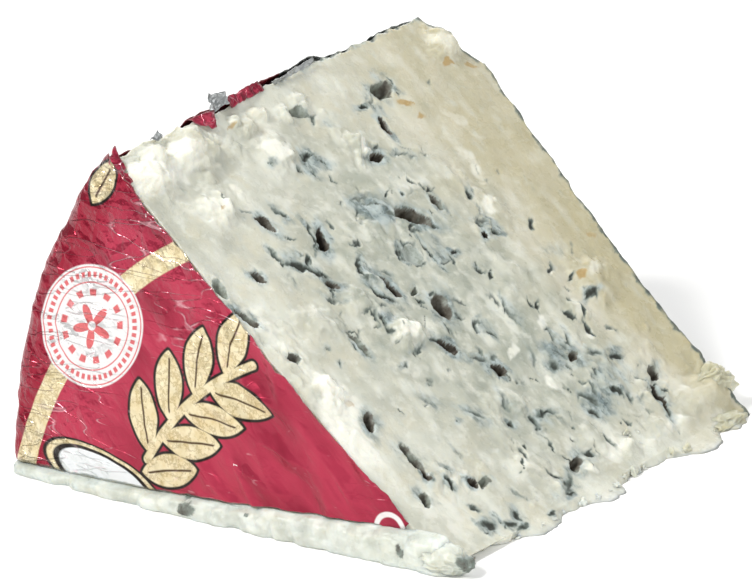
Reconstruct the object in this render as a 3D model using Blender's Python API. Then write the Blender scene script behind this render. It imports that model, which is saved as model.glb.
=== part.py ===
"""A foil-wrapped wedge of blue-veined ewe's-milk cheese, about an eighth of a whole wheel.

The wheel's axis lies along X. The wedge rests on one radial cut, at z = 0, and its other radial cut
slopes up and back from the thin edge at the axis to the rim. The printed face of the foil is at low X.
Sizes are in millimetres and are turned to metres when a mesh is made.
"""

import math
from collections import namedtuple

import bmesh
import bpy
from mathutils import Matrix, Vector, noise

MM = 0.001

# The wheel and the wedge cut from it
WEDGE_ANGLE = math.radians(41.4)
WHEEL_RADIUS = 96.6
NEAR_RIM_LOSS = 2.2  # the rim is that much lower where the upper cut meets the printed face
NEAR_RIM_SPAN = (25.0, 65.0)
AXIS_HEIGHT = 90.0  # the wheel has sunk in the middle, on the side away from the print
SHOULDER_HEIGHT = 100.0
FAR_SHOULDER = (7.6, 13.6)  # along the axis, and along the radius
NEAR_SHOULDER = (2.2, 2.6)
NEAR_SWELL = 1.2
DISH_POWER = 1.8

# The thin edge at the axis
TOE_REACH = 0.4  # how far the foot of the thin edge stands in front of the axis, between its scallops
TOE_HEIGHT = 1.4
TOE_FADE = 4.0
TOE_NOTCH = 2.6  # what is missing of the foot near the printed face
TOE_NOTCH_SPAN = (12.0, 20.0)

# The crumbled lip that bulges out below the printed foil
LIP_AXIS_HEIGHT = 6.3
LIP_RIM_HEIGHT = 2.0
LIP_AXIS_REACH = 3.2
LIP_RIM_REACH = 2.1
LIP_SINK = 3.0
LIP_STEP = 3.0
LIP_LIFT = 0.06

# The foil
FOIL_GAP = 0.45
FOIL_THICKNESS = 0.35
FOIL_LIP_CLEARANCE = 0.35
FOIL_FOOT = 2.4  # its lower edge stands this far above the table, away from the lip
FOIL_TIP_RADIUS = 11.6
FOIL_FAR_RADIUS = 16.0
FOIL_OVERHANG = 0.4
FOIL_FRAY = 0.9  # how far its edge strays from the cut where it is torn on the rim
FOIL_TORN_SPAN = (3.0, 20.0)
FOIL_PROUD_SPAN = (24.0, 46.0)

# The origin is on the base, under the middle of the wedge
BASE_POINT = Vector((46.0, 48.0, 0.0))

# Divisions of the meshes
ALONG_AXIS = 54
ALONG_RADIUS = 54
ROUND_RIM = 6
FOIL_ROUND = 8

Eye = namedtuple("Eye", "x r length width turn depth")

# The openings in the paste that are wide enough to show as hollows, at their places on the upper cut
EYES = (
    Eye(70.5, 86.4, 5.4, 3.8, 20, 3.0),
    Eye(56.5, 75.0, 5.0, 2.6, -10, 2.6),
    Eye(64.6, 79.6, 4.4, 2.2, 72, 3.0),
    Eye(47.2, 88.2, 5.0, 2.4, -28, 1.6),
    Eye(21.0, 72.8, 4.8, 2.4, -78, 2.6),
    Eye(30.0, 65.8, 5.6, 2.6, 64, 3.6),
    Eye(10.4, 64.4, 3.2, 2.6, -60, 2.6),
    Eye(24.0, 57.6, 3.6, 2.4, -30, 2.8),
    Eye(53.0, 61.4, 7.6, 3.4, -38, 3.4),
    Eye(61.0, 62.0, 4.6, 2.6, 78, 2.2),
    Eye(35.4, 52.4, 7.0, 3.0, 70, 3.4),
    Eye(43.6, 44.0, 5.6, 4.4, 40, 3.2),
    Eye(38.0, 37.0, 5.0, 2.6, -58, 3.2),
    Eye(18.0, 44.4, 6.4, 3.0, 84, 1.6),
    Eye(9.0, 31.4, 5.0, 3.0, 60, 3.0),
    Eye(44.8, 29.0, 3.6, 2.4, -58, 3.0),
    Eye(11.2, 21.6, 8.0, 3.2, 94, 3.2),
    Eye(6.8, 13.8, 4.4, 3.0, 64, 2.0),
    Eye(19.0, 12.8, 3.6, 2.4, -30, 2.6),
    Eye(44.0, 6.6, 6.0, 2.8, 22, 2.2),
    Eye(74.2, 10.0, 8.0, 2.4, 72, 3.2),
    Eye(62.4, 24.4, 4.6, 2.4, 10, 1.8),
    Eye(1.6, 58.6, 6.0, 3.4, -64, 2.6),
)

Lump = namedtuple("Lump", "x r size height")

# Crumbs and swellings that stand up from the upper cut
LUMPS = (
    Lump(16.0, 93.0, 7.0, 1.6),
    Lump(5.0, 91.0, 6.0, 1.1),
    Lump(54.5, 78.4, 4.4, 1.5),
    Lump(30.6, 43.0, 8.0, 1.3),
    Lump(5.6, 40.0, 7.0, 1.2),
    Lump(36.0, 84.0, 9.0, 0.9),
    Lump(80.0, 34.0, 8.0, 0.9),
    Lump(68.0, 4.0, 8.0, 0.9),
)


Scallop = namedtuple("Scallop", "x reach width")

# Where the foot of the thin edge stands out in front
SCALLOPS = (
    Scallop(25.0, 2.2, 16.0),
    Scallop(44.0, 3.0, 14.0),
    Scallop(72.0, 4.4, 18.0),
    Scallop(84.0, 2.2, 10.0),
)


def mix(a, b, share):
    return a + (b - a) * share


def ease(low, high, value):
    """0 below low and 1 above high, with a smooth rise between them."""
    share = min(max((value - low) / (high - low), 0.0), 1.0)
    return share * share * (3.0 - 2.0 * share)


def rounding(depth):
    """The fall of a quarter round: 0 where it starts and 1 at its end."""
    return 1.0 - math.sqrt(max(0.0, 1.0 - min(depth, 1.0) ** 2))


def near_face_x(r):
    swell = NEAR_SWELL * math.sin(math.pi * min(r / WHEEL_RADIUS, 1.0))
    start = WHEEL_RADIUS - NEAR_SHOULDER[1]
    return NEAR_SHOULDER[0] * rounding(max(r - start, 0.0) / NEAR_SHOULDER[1]) - swell


def far_face_x(r, w):
    """The far face, with a round shoulder at the base that is worn to a bevel at the upper cut."""
    start = WHEEL_RADIUS - FAR_SHOULDER[1]
    dish = (SHOULDER_HEIGHT - AXIS_HEIGHT) * (min(r, start) / start) ** DISH_POWER
    depth = max(r - start, 0.0) / FAR_SHOULDER[1]
    return AXIS_HEIGHT + dish - FAR_SHOULDER[0] * mix(rounding(depth), min(depth, 1.0) ** 0.8, w)


def rim_radius(x, w):
    return WHEEL_RADIUS - NEAR_RIM_LOSS * w**1.5 * (1.0 - ease(*NEAR_RIM_SPAN, x))


def toe_reach(x):
    reach = TOE_REACH - TOE_NOTCH * (1.0 - ease(*TOE_NOTCH_SPAN, x))
    for scallop in SCALLOPS:
        reach += scallop.reach * (1.0 - ease(0.2, 1.0, abs(x - scallop.x) / (scallop.width / 2.0)))
    return reach + 0.7 * noise.noise(Vector((x / 3.0, 3.7, 0.0)))


def wedge_point(u, v, w):
    """The plain wedge: u along the axis, v from the axis to the rim, w from the base to the upper cut."""
    nominal = v * WHEEL_RADIUS
    x = mix(near_face_x(nominal), far_face_x(nominal, w), u)
    r = v * rim_radius(x, w)
    turn = w * WEDGE_ANGLE
    blunt = math.exp(-r / TOE_FADE)
    y = r * math.cos(turn) + blunt * mix(-toe_reach(x), 0.2, w)
    z = r * math.sin(turn) + blunt * TOE_HEIGHT * w
    return Vector((x, y, z))


def eye_depth(eye, x, r):
    turn = math.radians(eye.turn)
    dx, dr = x - eye.x, r - eye.r
    along = (dx * math.cos(turn) + dr * math.sin(turn)) / (eye.length / 2.0)
    across = (dr * math.cos(turn) - dx * math.sin(turn)) / (eye.width / 2.0)
    return eye.depth * (1.0 - ease(0.55, 1.25, math.hypot(along, across)))


def relief(x, r):
    """How far the upper cut stands above its plane: waves, crumbs, lumps and eyes."""
    height = 0.8 * noise.noise(Vector((x / 22.0, r / 30.0, 1.3)))
    height += 0.5 * noise.noise(Vector((x / 7.0, r / 10.0, 4.1)))
    height += 0.3 * noise.noise(Vector((x / 3.2, r / 4.4, 8.9)))
    for lump in LUMPS:
        near = math.hypot(x - lump.x, r - lump.r) / (lump.size / 2.0)
        height += lump.height * (1.0 - ease(0.3, 1.0, near))
    return height - max(eye_depth(eye, x, r) for eye in EYES)


def crumble(u, v, point):
    """How much has crumbled off the border of the upper cut, as a move in its plane (x, r)."""
    worn = 1.1 * abs(noise.noise(Vector((point.x / 5.0, point.y / 5.0, 12.0))))
    reach = 2.0 / ALONG_AXIS
    inward = worn * (1.0 - ease(0.0, reach, u)) - worn * (1.0 - ease(0.0, reach, 1.0 - u))
    return inward, -1.4 * worn * (1.0 - ease(0.0, reach, 1.0 - v))


def upper_point(u, v):
    """The upper cut: the plain wedge's face with its relief and its crumbled border."""
    point = wedge_point(u, v, 1.0)
    dx, dr = crumble(u, v, point)
    radial = Vector((0.0, math.cos(WEDGE_ANGLE), math.sin(WEDGE_ANGLE)))
    outward = Vector((0.0, -math.sin(WEDGE_ANGLE), math.cos(WEDGE_ANGLE)))
    height = relief(point.x, v * WHEEL_RADIUS) * ease(0.0, 0.08, v)
    return point + Vector((dx, 0.0, 0.0)) + radial * dr + outward * height


def add_patch(bm, rows, flip=False):
    """Quads over a grid of vertices."""
    for low, high in zip(rows, rows[1:]):
        for a, b, c, d in zip(low, low[1:], high[1:], high):
            bm.faces.new((d, c, b, a) if flip else (a, b, c, d))


def cheese_mesh():
    """The wedge as one closed skin: the upper cut, both ends, rim, thin edge and base."""
    bm = bmesh.new()
    n, m, k = ALONG_AXIS, ALONG_RADIUS, ROUND_RIM
    made = {}

    def corner(i, j, layer):
        """The vertex at step i along the axis, j along the radius and layer round the rim."""
        if (i, j, layer) not in made:
            u, v = i / n, j / m
            place = upper_point(u, v) if layer == k else wedge_point(u, v, layer / k)
            made[i, j, layer] = bm.verts.new(place * MM)
        return made[i, j, layer]

    add_patch(bm, [[corner(i, j, k) for i in range(n + 1)] for j in range(m + 1)])
    add_patch(bm, [[corner(0, j, w) for j in range(m + 1)] for w in range(k + 1)], flip=True)
    add_patch(bm, [[corner(n, j, w) for j in range(m + 1)] for w in range(k + 1)])
    add_patch(bm, [[corner(i, m, w) for i in range(n + 1)] for w in range(k + 1)], flip=True)
    add_patch(bm, [[corner(i, 0, w) for i in range(n + 1)] for w in range(k + 1)])
    border = [corner(i, 0, 0) for i in range(n)] + [corner(n, j, 0) for j in range(m)]
    border += [corner(i, m, 0) for i in range(n, 0, -1)] + [corner(0, j, 0) for j in range(m, 0, -1)]
    bm.faces.new(border[::-1])
    return bm


def lip_height(r):
    return mix(LIP_AXIS_HEIGHT, LIP_RIM_HEIGHT, ease(4.0, 88.0, r))


def lip_mesh():
    """The lip along the foot of the printed face, as D-shaped sections from the rim to the thin edge."""
    bm = bmesh.new()
    outline = ((0.0, 0.9), (-0.35, 1.0), (-0.85, 0.82), (-1.0, 0.4), (-0.9, 0.0))
    steps = int((WHEEL_RADIUS - 4.0) / LIP_STEP)
    rings = []
    for step in range(steps + 1):
        y = WHEEL_RADIUS - 3.0 - step * LIP_STEP
        rough = noise.noise(Vector((y / 5.0, 7.7, 0.0)))
        reach = mix(LIP_AXIS_REACH, LIP_RIM_REACH, y / WHEEL_RADIUS) + 0.6 * rough - near_face_x(y)
        height = lip_height(y) * (1.0 - 0.08 * abs(rough))
        section = [(reach * a, LIP_LIFT + (height - LIP_LIFT) * b) for a, b in outline]
        section = [(LIP_SINK, LIP_LIFT), (LIP_SINK, 0.8 * height)] + section
        rings.append([bm.verts.new(Vector((x, y, z)) * MM) for x, z in section])
    for first, second in zip(rings, rings[1:]):
        for a, b, c, d in zip(first, first[1:] + first[:1], second[1:] + second[:1], second):
            bm.faces.new((a, b, c, d))
    bm.faces.new(rings[0][::-1])
    bm.faces.new(rings[-1])
    bmesh.ops.recalc_face_normals(bm, faces=bm.faces)
    return bm


def crumb_mesh(centre, size, detail, seed):
    """A rounded lump of paste, uneven and flat below where it meets the table."""
    bm = bmesh.new()
    bmesh.ops.create_icosphere(bm, subdivisions=detail, radius=0.5)
    for vert in bm.verts:
        rough = 1.0 + 0.28 * noise.noise(vert.co * 3.0 + Vector((seed, 0.0, 0.0)))
        place = Vector(vert.co[i] * size[i] * rough + centre[i] for i in range(3))
        place.z = max(place.z, LIP_LIFT)
        vert.co = place * MM
    return bm


# Crumbs that hang on the wedge's corners: centre, size and mesh detail
CRUMBS = (
    ((-0.6, 1.6, 2.8), (7.0, 12.0, 5.8), 2),
    ((86.8, 6.0, 4.6), (13.0, 7.0, 6.4), 2),
    ((84.0, 2.4, 2.0), (10.0, 7.0, 5.6), 2),
)


def profile(w):
    """The wheel's outline as (x, r), from the thin edge of the printed face round the rim to the far face."""
    near_start = WHEEL_RADIUS - NEAR_SHOULDER[1]
    far_start = WHEEL_RADIUS - FAR_SHOULDER[1]
    radii = [mix(FOIL_TIP_RADIUS, near_start, i / 9) for i in range(9)]
    radii += [near_start + NEAR_SHOULDER[1] * math.sin(math.pi / 2 * i / 4) for i in range(4)]
    points = [(near_face_x(r), r) for r in radii]
    first, last = near_face_x(WHEEL_RADIUS), far_face_x(WHEEL_RADIUS, w)
    points += [(mix(first, last, i / 8), WHEEL_RADIUS) for i in range(9)]
    radii = [far_start + FAR_SHOULDER[1] * math.cos(math.pi / 2 * i / 5) for i in range(1, 6)]
    radii += [mix(far_start, FOIL_FAR_RADIUS, i / 6) for i in range(1, 7)]
    points += [(far_face_x(r, w), r) for r in radii]
    return [(x, r * rim_radius(x, w) / WHEEL_RADIUS) for x, r in points]


def foil_edges(x, r):
    """The turns, from the base, at which the foil begins and ends."""
    on_print = x < NEAR_SHOULDER[0]
    foot = lip_height(r) + FOIL_LIP_CLEARANCE if on_print else FOIL_FOOT
    torn = ease(0.0, FOIL_TORN_SPAN[0], x) * (1.0 - ease(FOIL_TORN_SPAN[1], FOIL_PROUD_SPAN[0], x))
    proud = ease(FOIL_TORN_SPAN[1], FOIL_PROUD_SPAN[0], x) * (1.0 - ease(*FOIL_PROUD_SPAN, x))
    overhang = FOIL_OVERHANG - 2.0 * FOIL_FRAY * torn + FOIL_FRAY * proud
    return math.asin(min(foot / r, math.sin(WEDGE_ANGLE))), WEDGE_ANGLE + overhang / r


def foil_mesh():
    """A thin shell over the printed face, the rim and the far face, a little clear of the paste."""
    bm = bmesh.new()
    edges = [foil_edges(x, r) for x, r in profile(1.0)]
    inner, outer = [], []
    for step in range(FOIL_ROUND + 1):
        path = profile(step / FOIL_ROUND)
        for skin, offset in ((inner, FOIL_GAP), (outer, FOIL_GAP + FOIL_THICKNESS)):
            row = []
            for index, (x, r) in enumerate(path):
                before, after = path[max(index - 1, 0)], path[min(index + 1, len(path) - 1)]
                along = Vector((after[0] - before[0], after[1] - before[1])).normalized()
                x, r = x - along.y * offset, r + along.x * offset
                turn = mix(*edges[index], step / FOIL_ROUND)
                row.append(bm.verts.new(Vector((x, r * math.cos(turn), r * math.sin(turn))) * MM))
            skin.append(row)
    add_patch(bm, outer)
    add_patch(bm, inner, flip=True)
    for line in (0, -1):
        add_patch(bm, [[row[line] for row in inner], [row[line] for row in outer]])
        add_patch(bm, [inner[line], outer[line]])
    bmesh.ops.recalc_face_normals(bm, faces=bm.faces)
    return bm


def new_material(name, colour, roughness, metallic):
    material = bpy.data.materials.new(name)
    material.use_nodes = True
    shader = material.node_tree.nodes["Principled BSDF"]
    shader.inputs["Base Color"].default_value = (*colour, 1.0)
    shader.inputs["Roughness"].default_value = roughness
    shader.inputs["Metallic"].default_value = metallic
    return material


def new_object(name, bm, material=None):
    mesh = bpy.data.meshes.new(name)
    bm.to_mesh(mesh)
    bm.free()
    obj = bpy.data.objects.new(name, mesh)
    bpy.context.scene.collection.objects.link(obj)
    if material:
        mesh.materials.append(material)
    return obj


def fuse(obj, extras):
    """Joins the extra solids to the object with one Boolean union, and removes them."""
    group = bpy.data.collections.new("joined_pieces")
    bpy.context.scene.collection.children.link(group)
    for extra in extras:
        bpy.context.scene.collection.objects.unlink(extra)
        group.objects.link(extra)
    union = obj.modifiers.new("Union", "BOOLEAN")
    union.operation = "UNION"
    union.operand_type = "COLLECTION"
    union.collection = group
    bpy.context.view_layer.objects.active = obj
    bpy.ops.object.modifier_apply(modifier=union.name)
    for extra in extras:
        bpy.data.objects.remove(extra)
    bpy.data.collections.remove(group)


def build():
    for old in list(bpy.data.objects):
        bpy.data.objects.remove(old)
    paste = new_material("ivory_paste", (0.68, 0.66, 0.52), 0.45, 0.0)
    print_foil = new_material("crimson_foil", (0.50, 0.07, 0.11), 0.35, 0.4)
    cheese = new_object("cheese", cheese_mesh(), paste)
    extras = [new_object("lip", lip_mesh())]
    for number, (centre, size, detail) in enumerate(CRUMBS):
        extras.append(new_object(f"crumb_{number}", crumb_mesh(centre, size, detail, 5.0 * number)))
    fuse(cheese, extras)
    foil = new_object("foil", foil_mesh(), print_foil)
    for obj in (cheese, foil):
        obj.data.transform(Matrix.Translation(-BASE_POINT * MM))
        obj.data.shade_smooth()
        obj.data.set_sharp_from_angle(angle=math.radians(35.0))


build()
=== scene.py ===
import math
from collections import namedtuple
from functools import partial

import bmesh
import bpy
import numpy as np
from mathutils import Matrix, Vector, noise


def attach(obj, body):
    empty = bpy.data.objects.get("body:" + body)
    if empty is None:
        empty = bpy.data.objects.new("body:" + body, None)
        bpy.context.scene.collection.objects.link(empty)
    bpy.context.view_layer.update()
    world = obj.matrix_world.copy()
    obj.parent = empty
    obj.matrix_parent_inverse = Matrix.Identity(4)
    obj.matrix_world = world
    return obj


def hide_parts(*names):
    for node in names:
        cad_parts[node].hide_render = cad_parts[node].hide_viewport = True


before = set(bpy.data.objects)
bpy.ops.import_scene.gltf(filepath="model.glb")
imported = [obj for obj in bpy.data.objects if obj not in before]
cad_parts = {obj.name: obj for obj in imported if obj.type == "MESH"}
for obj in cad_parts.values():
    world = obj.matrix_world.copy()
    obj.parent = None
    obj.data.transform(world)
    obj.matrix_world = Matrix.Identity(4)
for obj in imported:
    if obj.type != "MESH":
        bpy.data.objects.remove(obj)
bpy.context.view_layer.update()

# The wedge of paste, an eighth of a wheel lying on one radial cut. It is pressed ewe's-milk curd, cut with a
# wire, so the upper cut is smooth in the middle and crumbles at its border and round its eyes. Sizes are in
# millimetres, from the point on the table where the wheel's axis leaves the printed face.
MM = 0.001
BASE_POINT = np.array((46.0, 48.0, 0.0))
WEDGE_ANGLE = math.radians(41.4)
WHEEL_RADIUS = 96.6
# By how much the rim falls in at the upper cut, and the part of its width over which that fades out
NEAR_RIM_LOSS = 2.2
NEAR_RIM_SPAN = (25.0, 65.0)
AXIS_HEIGHT = 90.0
SHOULDER_HEIGHT = 100.0
# How far each face falls back at the rim, and over how much of the radius
FAR_SHOULDER = (7.6, 13.6)
NEAR_SHOULDER = (2.2, 2.6)
NEAR_SWELL = 1.2
DISH_POWER = 1.8
# The thin edge at the wheel's axis, which reaches past the axis and is blunt
TOE_REACH = 0.4
TOE_HEIGHT = 1.4
TOE_FADE = 4.0
TOE_NOTCH = 2.6
TOE_NOTCH_SPAN = (12.0, 20.0)
# Spacing of the mesh on the cut, and the share of its length by the far face that needs a wider one
CUT_STEP = 0.34
PLAIN_SHARE = 0.2
PLAIN_STEPS = 1.6
SIDE_LAYERS = 14

# Tongues of paste that stand out of the thin edge
Scallop = namedtuple("Scallop", "x reach width")
SCALLOPS = (
    Scallop(25.0, 2.2, 16.0),
    Scallop(44.0, 3.0, 14.0),
    Scallop(72.0, 4.4, 18.0),
    Scallop(84.0, 2.2, 10.0),
)

# Lumps on the upper cut, where the wire tore the curd instead of cutting it
Lump = namedtuple("Lump", "x r size height")
LUMPS = (
    Lump(17.8, 92.6, 9.6, 3.4),
    Lump(14.4, 90.6, 6.0, 2.0),
    Lump(8.6, 93.0, 6.0, 2.2),
    Lump(4.4, 90.4, 8.0, 2.6),
    Lump(22.6, 90.6, 5.0, 1.4),
    Lump(33.8, 91.6, 5.6, 1.7),
    Lump(38.6, 92.0, 4.6, 1.3),
    Lump(43.8, 89.6, 4.0, 1.1),
    Lump(49.4, 90.0, 4.6, 0.9),
    Lump(54.2, 78.6, 5.6, 1.8),
    Lump(56.0, 76.2, 3.2, 1.2),
    Lump(53.0, 75.6, 3.0, 0.8),
    Lump(30.8, 43.0, 8.4, 1.7),
    Lump(34.0, 42.0, 4.0, 1.0),
    Lump(5.6, 40.0, 7.0, 1.3),
    Lump(36.0, 84.4, 11.0, 1.1),
    Lump(12.0, 80.4, 5.0, 0.9),
    Lump(15.4, 78.4, 4.0, 0.8),
    Lump(34.0, 54.6, 3.4, 0.9),
    Lump(67.8, 54.0, 3.4, 0.7),
    Lump(80.0, 34.0, 8.0, 0.8),
    Lump(82.6, 38.0, 6.0, 0.7),
    Lump(71.4, 31.6, 6.4, 0.7),
    Lump(68.0, 4.0, 8.0, 1.0),
    Lump(45.0, 4.6, 4.4, 1.1),
    Lump(52.0, 10.0, 8.0, 0.8),
    Lump(80.0, 7.0, 7.0, 0.9),
    Lump(92.5, 89.6, 10.0, 1.8),
    Lump(85.0, 5.0, 11.0, 1.8),
    Lump(27.0, 2.4, 4.6, 1.2),
    Lump(35.0, 2.8, 4.0, 1.2),
    Lump(57.4, 3.4, 5.4, 1.5),
    Lump(63.0, 1.8, 5.0, 1.6),
    Lump(74.6, 2.4, 6.4, 1.6),
    Lump(51.0, 2.0, 4.4, 1.3),
    Lump(46.6, 64.6, 8.4, 0.9),
    Lump(26.0, 52.0, 9.0, 0.7),
    Lump(14.0, 52.0, 10.0, 0.9),
    Lump(62.0, 43.0, 12.0, 0.8),
)


def mix(a, b, share):
    return a + (b - a) * share


def ease(low, high, value):
    """0 below low and 1 above high, with a smooth rise between them."""
    share = np.clip((value - low) / (high - low), 0.0, 1.0)
    return share * share * (3.0 - 2.0 * share)


def grain(seed, a, b):
    """Smooth noise from about -1 to 1, with swells about one unit of a and b across."""
    a, b = np.broadcast_arrays(a, b)
    values = (noise.noise((p, q, seed)) for p, q in zip(a.ravel(), b.ravel()))
    return np.fromiter(values, float, a.size).reshape(a.shape)


def grains(seed, a, b):
    """Round grains packed side by side, each about one unit across: 1 on their tops and 0 between them."""
    a, b = np.broadcast_arrays(a, b)
    values = (noise.voronoi((p, q, seed))[0][0] for p, q in zip(a.ravel(), b.ravel()))
    near = np.fromiter(values, float, a.size).reshape(a.shape)
    return np.clip(1.0 - (near / 0.75) ** 2, 0.0, 1.0)


def crease(seed, a, b):
    """Folds with a sharp top: 1 on a ridge, falling in straight slopes to 0."""
    return 1.0 - np.minimum(abs(grain(seed, a, b)) * 2.4, 1.0)


def rounding(depth):
    return 1.0 - np.sqrt(1.0 - np.clip(depth, 0.0, 1.0) ** 2)


def near_face_x(r):
    swell = NEAR_SWELL * np.sin(np.pi * np.minimum(r / WHEEL_RADIUS, 1.0))
    depth = np.maximum(r - WHEEL_RADIUS + NEAR_SHOULDER[1], 0.0) / NEAR_SHOULDER[1]
    return NEAR_SHOULDER[0] * rounding(depth) - swell


def far_face_x(r, w):
    start = WHEEL_RADIUS - FAR_SHOULDER[1]
    dish = (SHOULDER_HEIGHT - AXIS_HEIGHT) * (np.minimum(r, start) / start) ** DISH_POWER
    depth = np.clip((r - start) / FAR_SHOULDER[1], 0.0, 1.0)
    return AXIS_HEIGHT + dish - FAR_SHOULDER[0] * mix(rounding(depth), depth**0.8, w)


def rim_radius(x, w):
    return WHEEL_RADIUS - NEAR_RIM_LOSS * w**1.5 * (1.0 - ease(*NEAR_RIM_SPAN, x))


def toe_reach(x):
    reach = TOE_REACH - TOE_NOTCH * (1.0 - ease(*TOE_NOTCH_SPAN, x)) + 0.7 * grain(0.0, x / 3.0, 3.7)
    for scallop in SCALLOPS:
        reach = reach + scallop.reach * (1.0 - ease(0.2, 1.0, abs(x - scallop.x) / (scallop.width / 2.0)))
    return reach + 1.2 * np.sqrt(grains(0.9, x / 3.4, 4.4)) - 0.8 + 0.25 * grain(0.5, x / 1.6, 8.1)


def wedge_points(u, v, w):
    """Points of the plain wedge: u along the axis, v along the radius, w from the base to the upper cut."""
    nominal = v * WHEEL_RADIUS
    x = mix(near_face_x(nominal), far_face_x(nominal, w), u)
    r = v * rim_radius(x, w)
    turn = w * WEDGE_ANGLE
    blunt = np.exp(-r / TOE_FADE)
    y = r * np.cos(turn) + blunt * mix(-toe_reach(x), 0.2, w)
    z = r * np.sin(turn) + blunt * TOE_HEIGHT * w
    return np.stack(np.broadcast_arrays(x, y, z), axis=-1)


# The marbling, at its places on the upper cut: x along the wheel's axis and r from it. Air let in through
# needle holes grew blue-green mould in eyes torn in the paste, in thin seams and in pale patches round them.
# bend is how far the middle of a mark stands off the line between its ends.
Mark = namedtuple("Mark", "x r length width turn bend tone")

# Eyes that are open hollows, with a depth each. A low tone is a grey floor and a high one is black.
# The floor's colour is mould with painted shade in it, so the deepest eyes are painted near black.
EYES = (
    (Mark(70.4, 86.0, 6.2, 4.2, 14, 0.0, 0.62), 3.0),
    (Mark(64.7, 79.6, 5.2, 1.9, 74, 0.2, 1.0), 3.0),
    # Partly painted shadow: its dark floor stands in for the shade under the white lumps beside it
    (Mark(56.8, 74.8, 4.0, 2.2, -15, 0.0, 0.85), 2.6),
    # Its soft grey is partly painted shadow
    (Mark(47.8, 88.5, 5.2, 2.2, -32, 0.4, 0.4), 1.1),
    (Mark(21.2, 72.8, 5.4, 2.4, -68, 0.0, 0.85), 2.6),
    (Mark(30.2, 65.6, 6.0, 2.5, 62, 0.2, 1.0), 3.6),
    (Mark(10.5, 64.5, 3.0, 2.5, -50, 0.0, 0.9), 2.6),
    (Mark(24.0, 57.2, 3.4, 2.4, -35, 0.0, 1.0), 2.8),
    (Mark(53.4, 61.2, 8.8, 3.4, -40, 0.8, 0.78), 3.4),
    (Mark(61.1, 62.0, 5.0, 2.3, 78, 0.0, 0.62), 2.0),
    (Mark(35.6, 52.2, 6.2, 2.3, -80, 0.4, 1.0), 3.4),
    (Mark(43.5, 44.0, 6.0, 4.6, 50, 0.0, 0.8), 3.2),
    (Mark(40.5, 49.3, 3.4, 1.5, 30, 0.0, 0.5), 1.6),
    (Mark(37.8, 37.0, 4.8, 2.4, -62, 0.0, 1.0), 3.2),
    (Mark(18.8, 44.4, 6.4, 1.8, 98, -0.7, 0.5), 1.4),
    (Mark(8.8, 31.2, 5.0, 2.9, 58, 0.0, 0.85), 3.0),
    (Mark(44.7, 28.9, 3.6, 2.4, -55, 0.0, 1.0), 3.0),
    (Mark(11.4, 21.8, 7.6, 3.1, 92, 0.0, 0.6), 3.0),
    (Mark(11.1, 18.0, 3.0, 1.5, 84, 0.0, 1.0), 3.2),
    (Mark(7.0, 14.1, 4.0, 2.8, 70, 0.0, 0.6), 2.0),
    (Mark(18.9, 12.8, 2.9, 1.8, -60, 0.0, 1.0), 2.6),
    (Mark(21.3, 11.7, 3.2, 2.1, 0, 0.0, 0.45), 1.4),
    (Mark(3.7, 47.8, 2.4, 2.1, 60, 0.0, 0.6), 2.0),
    (Mark(43.8, 6.8, 6.0, 2.4, 30, 0.0, 0.75), 2.2),
    (Mark(73.4, 10.0, 7.2, 1.9, 72, 0.0, 1.0), 3.2),
    (Mark(76.7, 15.0, 3.4, 2.8, 0, 0.0, 0.8), 2.2),
    (Mark(62.2, 24.6, 3.0, 2.1, 10, 0.0, 0.8), 1.8),
    (Mark(65.2, 52.3, 2.3, 1.5, 70, 0.0, 1.0), 1.8),
    (Mark(1.2, 58.4, 6.4, 2.4, -62, 0.3, 0.8), 2.6),
    (Mark(0.8, 65.0, 4.8, 3.0, 80, 0.0, 0.38), 1.6),
    (Mark(46.3, 55.4, 4.2, 4.0, 0, 0.0, 0.25), 0.8),
)
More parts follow.
